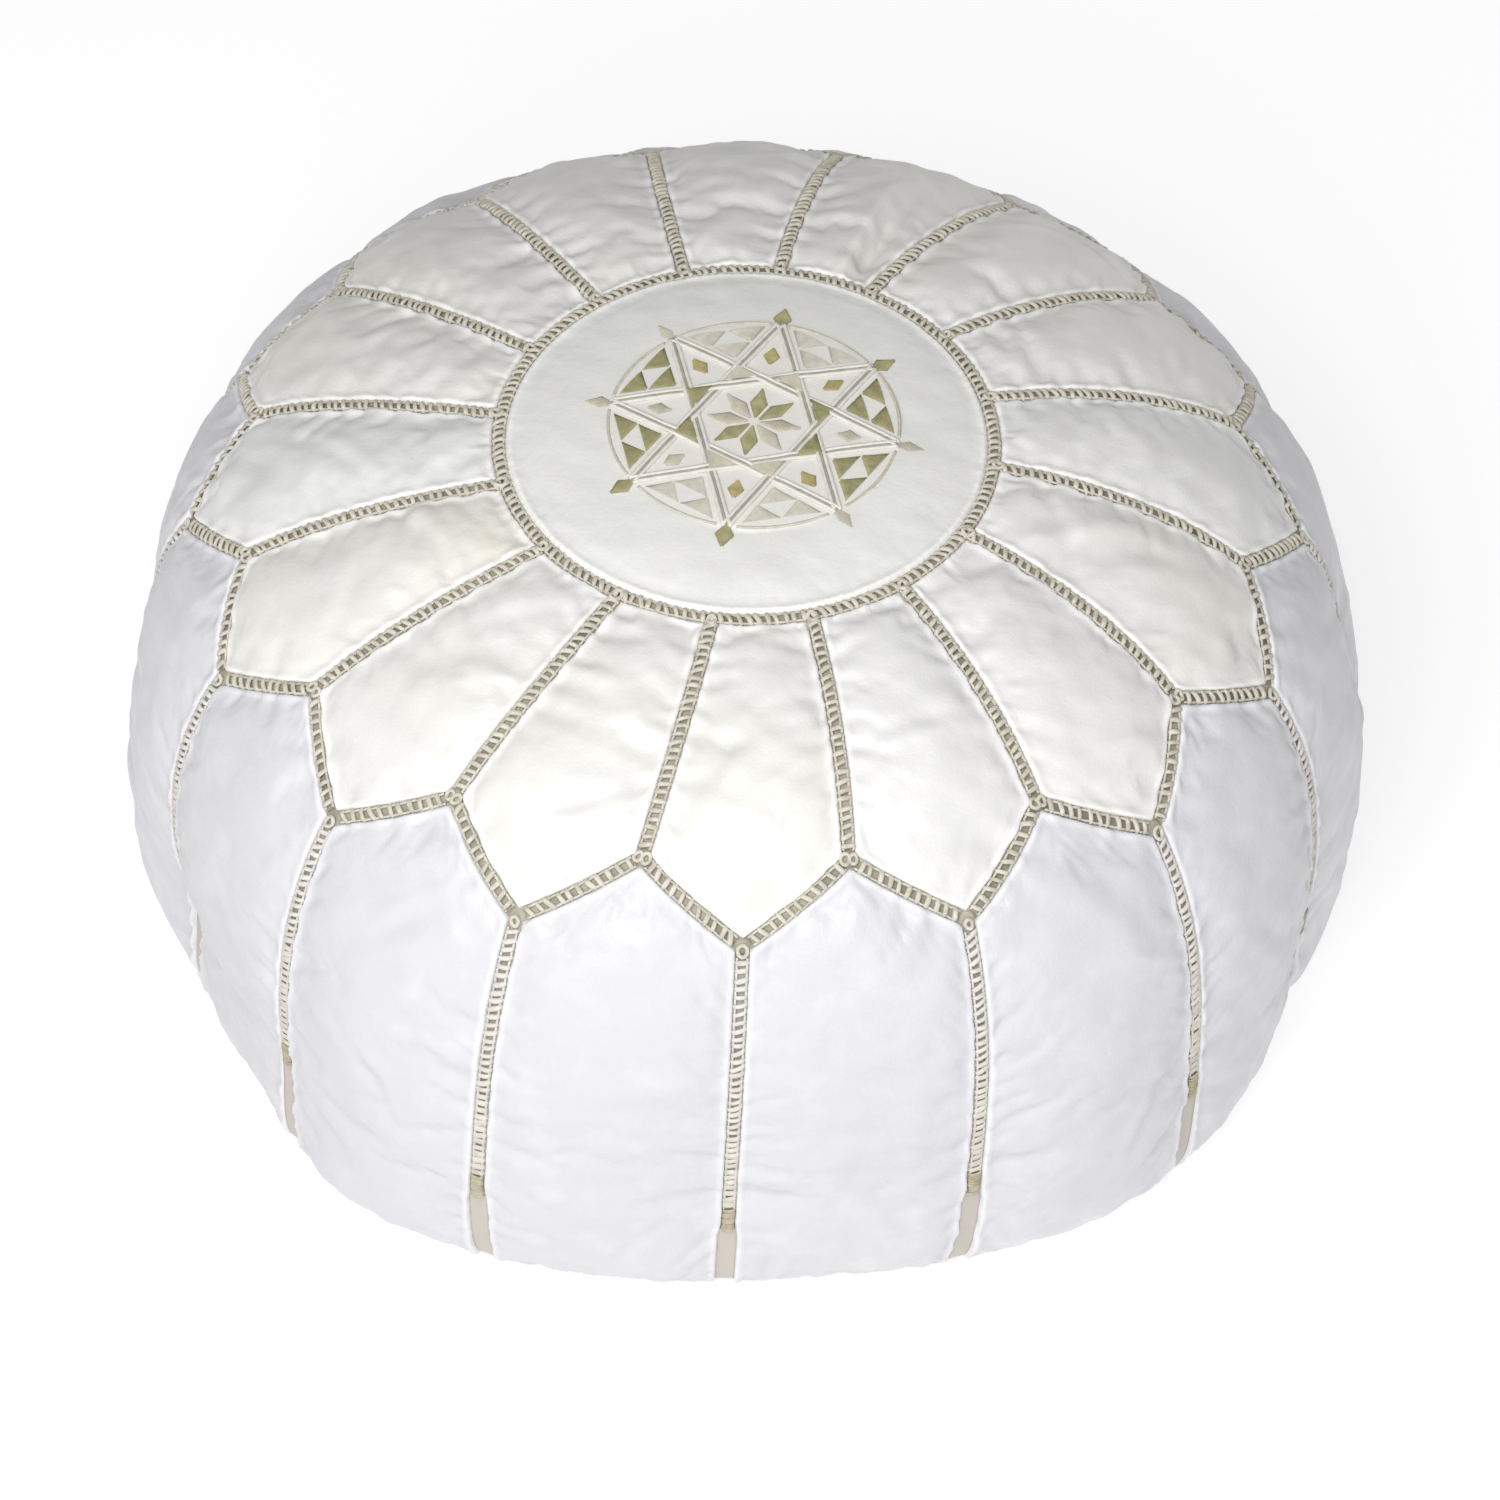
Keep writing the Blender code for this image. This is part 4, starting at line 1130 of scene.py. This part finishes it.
class Nodes:
    """The shader nodes of a material or a world, while they are put together."""

    def __init__(self, owner):
        owner.use_nodes = True
        self.owner = owner
        self.tree = owner.node_tree

    def feed(self, socket, value):
        """Sets a socket to a number, a colour or a vector, or links another socket to it."""
        if isinstance(value, tuple):
            socket.default_value = (*value, 1.0)[: len(socket.default_value)]
        elif isinstance(value, (int, float)):
            socket.default_value = value
        else:
            self.tree.links.new(value, socket)

    def add(self, kind, inputs=None, **settings):
        """Adds a node, with its settings and what feeds its inputs; returns its outputs."""
        node = self.tree.nodes.new("ShaderNode" + kind)
        for key, value in settings.items():
            setattr(node, key, value)
        for key, value in (inputs or {}).items():
            self.feed(node.inputs[key], value)
        return node.outputs

    def mixed(self, first, second, factor):
        """A mix of two colours."""
        return self.add("Mix", {0: factor, 6: first, 7: second}, data_type="RGBA")[2]

    def ranged(self, value, low, high, to_low=0.0, to_high=1.0):
        """A value carried from one range to another, and held inside it."""
        ends = {"From Min": low, "From Max": high, "To Min": to_low, "To Max": to_high}
        return self.add("MapRange", {"Value": value, **ends})["Result"]

    def calculated(self, operation, *values):
        return self.add("Math", dict(enumerate(values)), operation=operation)["Value"]

    def place(self):
        return self.add("TexCoord")["Object"]

    def noise(self, scale, detail=3.0, offset=0.0):
        shifted = self.add("VectorMath", {0: self.place(), 1: (offset, offset, offset)})["Vector"]
        return self.add("TexNoise", {"Scale": scale, "Detail": detail, "Vector": shifted})["Fac"]

    def held(self, name):
        """A value held at the mesh's points."""
        return self.add("Attribute", attribute_name=name)["Fac"]

    def clouded(self, first, second, noise, low, high, most=1.0):
        """The first colour, clouded with up to a share of the second by a noise's settings."""
        return self.mixed(first, second, self.ranged(self.noise(*noise), low, high, 0.0, most))


class Look(Nodes):
    """A procedural material with one shader."""

    def __init__(self, name, colour, roughness, metallic=0.0):
        super().__init__(bpy.data.materials.new(name))
        self.set("Base Color", colour)
        self.set("Roughness", roughness)
        self.set("Metallic", metallic)

    def set(self, name, value):
        self.feed(self.tree.nodes["Principled BSDF"].inputs[name], value)

    def bump(self, heights, distance, strength):
        """Joins weighted heights into one bump, and gives the finished material."""
        total = 0.0
        for height, weight in heights:
            total = self.calculated("MULTIPLY_ADD", height, weight, total)
        inputs = {"Strength": strength, "Distance": distance, "Height": total}
        self.set("Normal", self.add("Bump", inputs)["Normal"])
        return self.owner

    def grain(self, scale, detail, distance, strength):
        """One noise as the bump of the finished material."""
        return self.bump([(self.noise(scale, detail), 1.0)], distance, strength)


def shaded(colour, share):
    return tuple(share * channel for channel in colour)


def leather(name, plain, yellowed, rubbed, offset):
    """White sheepskin: fine grain, cloudy yellowing and rubbed patches, and a painted highlight along
    the rolled lips beside each seam.
    """
    look = Look(name, plain, 0.45)
    cloud = look.ranged(look.noise(14.0, 4.0, offset), 0.35, 0.70, 0.30, 1.0)
    colour = look.mixed(plain, yellowed, look.calculated("MULTIPLY", cloud, look.held("tone")))
    colour = look.clouded(colour, rubbed, (55.0, 5.0, offset + 3.0), 0.52, 0.75, 0.35)
    # Painted highlight: the rubbed colour laid over the lips beside each seam and their dive to the
    # strip
    rolled = look.ranged(look.held("edge"), 0.0022, 0.0048, 0.85, 0.0)
    look.set("Base Color", look.mixed(colour, rubbed, rolled))
    look.set("Roughness", look.ranged(look.noise(40.0, 4.0), 0.3, 0.7, 0.36, 0.54))
    pores = look.add("TexVoronoi", {"Scale": 850.0, "Vector": look.place()})["Distance"]
    heights = ((pores, 0.12), (look.noise(160.0, 6.0), 0.45), (look.noise(45.0, 5.0, 7.0), 1.0))
    return look.bump(heights, 0.0009, 0.6)


def thread(name, light, dark, rubbed=None):
    """Waxed cotton thread: paler and darker along its length, with a fine twist."""
    look = Look(name, light, 0.62)
    colour = look.clouded(light, dark, (260.0,), 0.35, 0.65)
    if rubbed:
        colour = look.mixed(colour, rubbed, look.held("tone"))
    look.set("Base Color", colour)
    return look.grain(1400.0, 2.0, 0.0003, 0.6)


def strip_leather(name, stitched, bare):
    """The strip in the seams: darker between the stitches, in patches too, partly dirt and partly
    painted shade in the gaps; paler where it is bare.
    """
    look = Look(name, stitched, 0.6)
    # Darker patches between the stitches: dirt and painted shade in the gaps
    colour = look.clouded(stitched, shaded(stitched, 0.5), (50.0, 4.0), 0.42, 0.62, 0.75)
    look.set("Base Color", look.mixed(colour, bare, look.held("tone")))
    return look.grain(500.0, 4.0, 0.0003, 0.5)


def woven(name, colour):
    """Tape or coarse cloth, with threads both ways."""
    look = Look(name, colour, 0.85)
    inputs = {"Scale": 260.0, "Vector": look.place()}
    heights = [
        (look.add("TexWave", inputs, bands_direction=direction)["Fac"], 0.5) for direction in ("X", "Y")
    ]
    look.set("Base Color", look.clouded(colour, shaded(colour, 0.8), (30.0, 4.0), 0.3, 0.7, 0.4))
    return look.bump(heights, 0.0004, 0.7)


def metal(name, colour):
    """Worn brass: rubbed bright in places, fine scratches."""
    look = Look(name, colour, 0.3, 1.0)
    look.set("Base Color", look.clouded(colour, shaded(colour, 0.6), (90.0, 5.0), 0.35, 0.7))
    look.set("Roughness", look.ranged(look.noise(300.0, 4.0), 0.3, 0.7, 0.22, 0.45))
    return look.grain(900.0, 3.0, 0.0001, 0.4)


def cotton(name, colour):
    """Raw batting: soft and fibrous."""
    look = Look(name, colour, 0.95)
    look.set("Base Color", look.clouded(colour, shaded(colour, 0.85), (60.0, 6.0), 0.3, 0.7, 0.5))
    return look.grain(220.0, 8.0, 0.002, 0.8)


def give(look, *nodes):
    """Puts a material on nodes that keep their own shape."""
    for node in nodes:
        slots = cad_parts[node].data.materials
        slots.clear()
        slots.append(look)


# Stage


def area_light(name, place, target, energy):
    data = bpy.data.lights.new(name, "AREA")
    data.shape = "SQUARE"
    data.size = LIGHT_SIZE
    data.energy = energy
    lamp = put(name, data)
    lamp.location = place
    lamp.rotation_euler = (Vector(target) - lamp.location).to_track_quat("-Z", "Y").to_euler()
    lamp.visible_camera = False


def build_camera():
    """The camera looks down from the front, rolled a little, with its frame shifted."""
    data = bpy.data.cameras.new("camera")
    data.lens = CAMERA_LENS
    data.shift_x, data.shift_y = CAMERA_SHIFT
    data.clip_end = 100.0
    camera = put("camera", data)
    back = Vector((0.0, -math.cos(CAMERA_ELEVATION), math.sin(CAMERA_ELEVATION)))
    turn = (-back).to_track_quat("-Z", "Y").to_matrix().to_4x4()
    shift = Matrix.Translation(CAMERA_AIM + CAMERA_DISTANCE * back)
    camera.matrix_world = shift @ turn @ Matrix.Rotation(CAMERA_ROLL, 4, "Z")
    bpy.context.scene.camera = camera


def studio_world():
    """Soft light all round, stronger in front than behind; the camera sees it plain white."""
    nodes = Nodes(bpy.data.worlds.new("studio"))
    back = nodes.add("SeparateXYZ", {0: nodes.add("TexCoord")["Generated"]})["Y"]
    fade = nodes.ranged(back, -0.8, 0.8, *WORLD_FRONT_AND_BACK)
    shown = nodes.mixed(fade, WORLD_SEEN, nodes.add("LightPath")["Is Camera Ray"])
    nodes.feed(nodes.tree.nodes["Background"].inputs["Color"], shown)
    return nodes.owner


def build_stage():
    look = Look("floor", (0.50, 0.50, 0.50), 0.9)
    look.set("Emission Color", (1.0, 1.0, 1.0))
    look.set("Emission Strength", FLOOR_GLOW)
    corners = [(FLOOR_HALF * x, FLOOR_HALF * y, 0.0) for x, y in ((-1, -1), (1, -1), (1, 1), (-1, 1))]
    new_object("floor", corners, [(0, 1, 2, 3)], look.owner)
    area_light("key", KEY_PLACE, KEY_AIM, KEY_POWER)
    area_light("back_fill", BACK_FILL_PLACE, BACK_FILL_AIM, BACK_FILL_POWER)
    build_camera()
    bpy.context.scene.world = studio_world()
    bpy.context.scene.view_settings.view_transform = "Standard"


# The whole pouf


def main():
    hides = {name: leather(name, *colours) for name, colours in LEATHERS.items()}
    threads = {name: thread(name, *colours) for name, colours in THREADS.items()}
    waxed = threads["waxed_thread"]
    panels = make_panels()
    movements = simulate(panels)
    for panel, movement in zip(panels, movements):
        panel_mesh(panel, movement, hides["upper_leather" if panel.upper else "lower_leather"])
    medallion_sheet(hides["medallion_leather"])
    strip = strip_leather("strip_leather", SHADED_GRUBBY_STRIP, BARE_STRIP)
    build_seams(strip, waxed, threads["knot_thread"])
    build_star(threads)
    stuffing(cotton("stuffing", COTTON))
    give(hides["base_leather"], "base_panel_front", "base_panel_back")
    base_hem(hides["base_leather"])
    base_seam(waxed)
    give(woven("zip_tape", ZIP_TAPE), "zip_tape_front", "zip_tape_back")
    brass = metal("zip_metal", BRASS)
    give(brass, "zip_teeth_front", "zip_teeth_back", "zip_stop_closed_end", "zip_stop_open_end")
    give(brass, "zip_slider", "pull_tab")
    build_stage()


main()
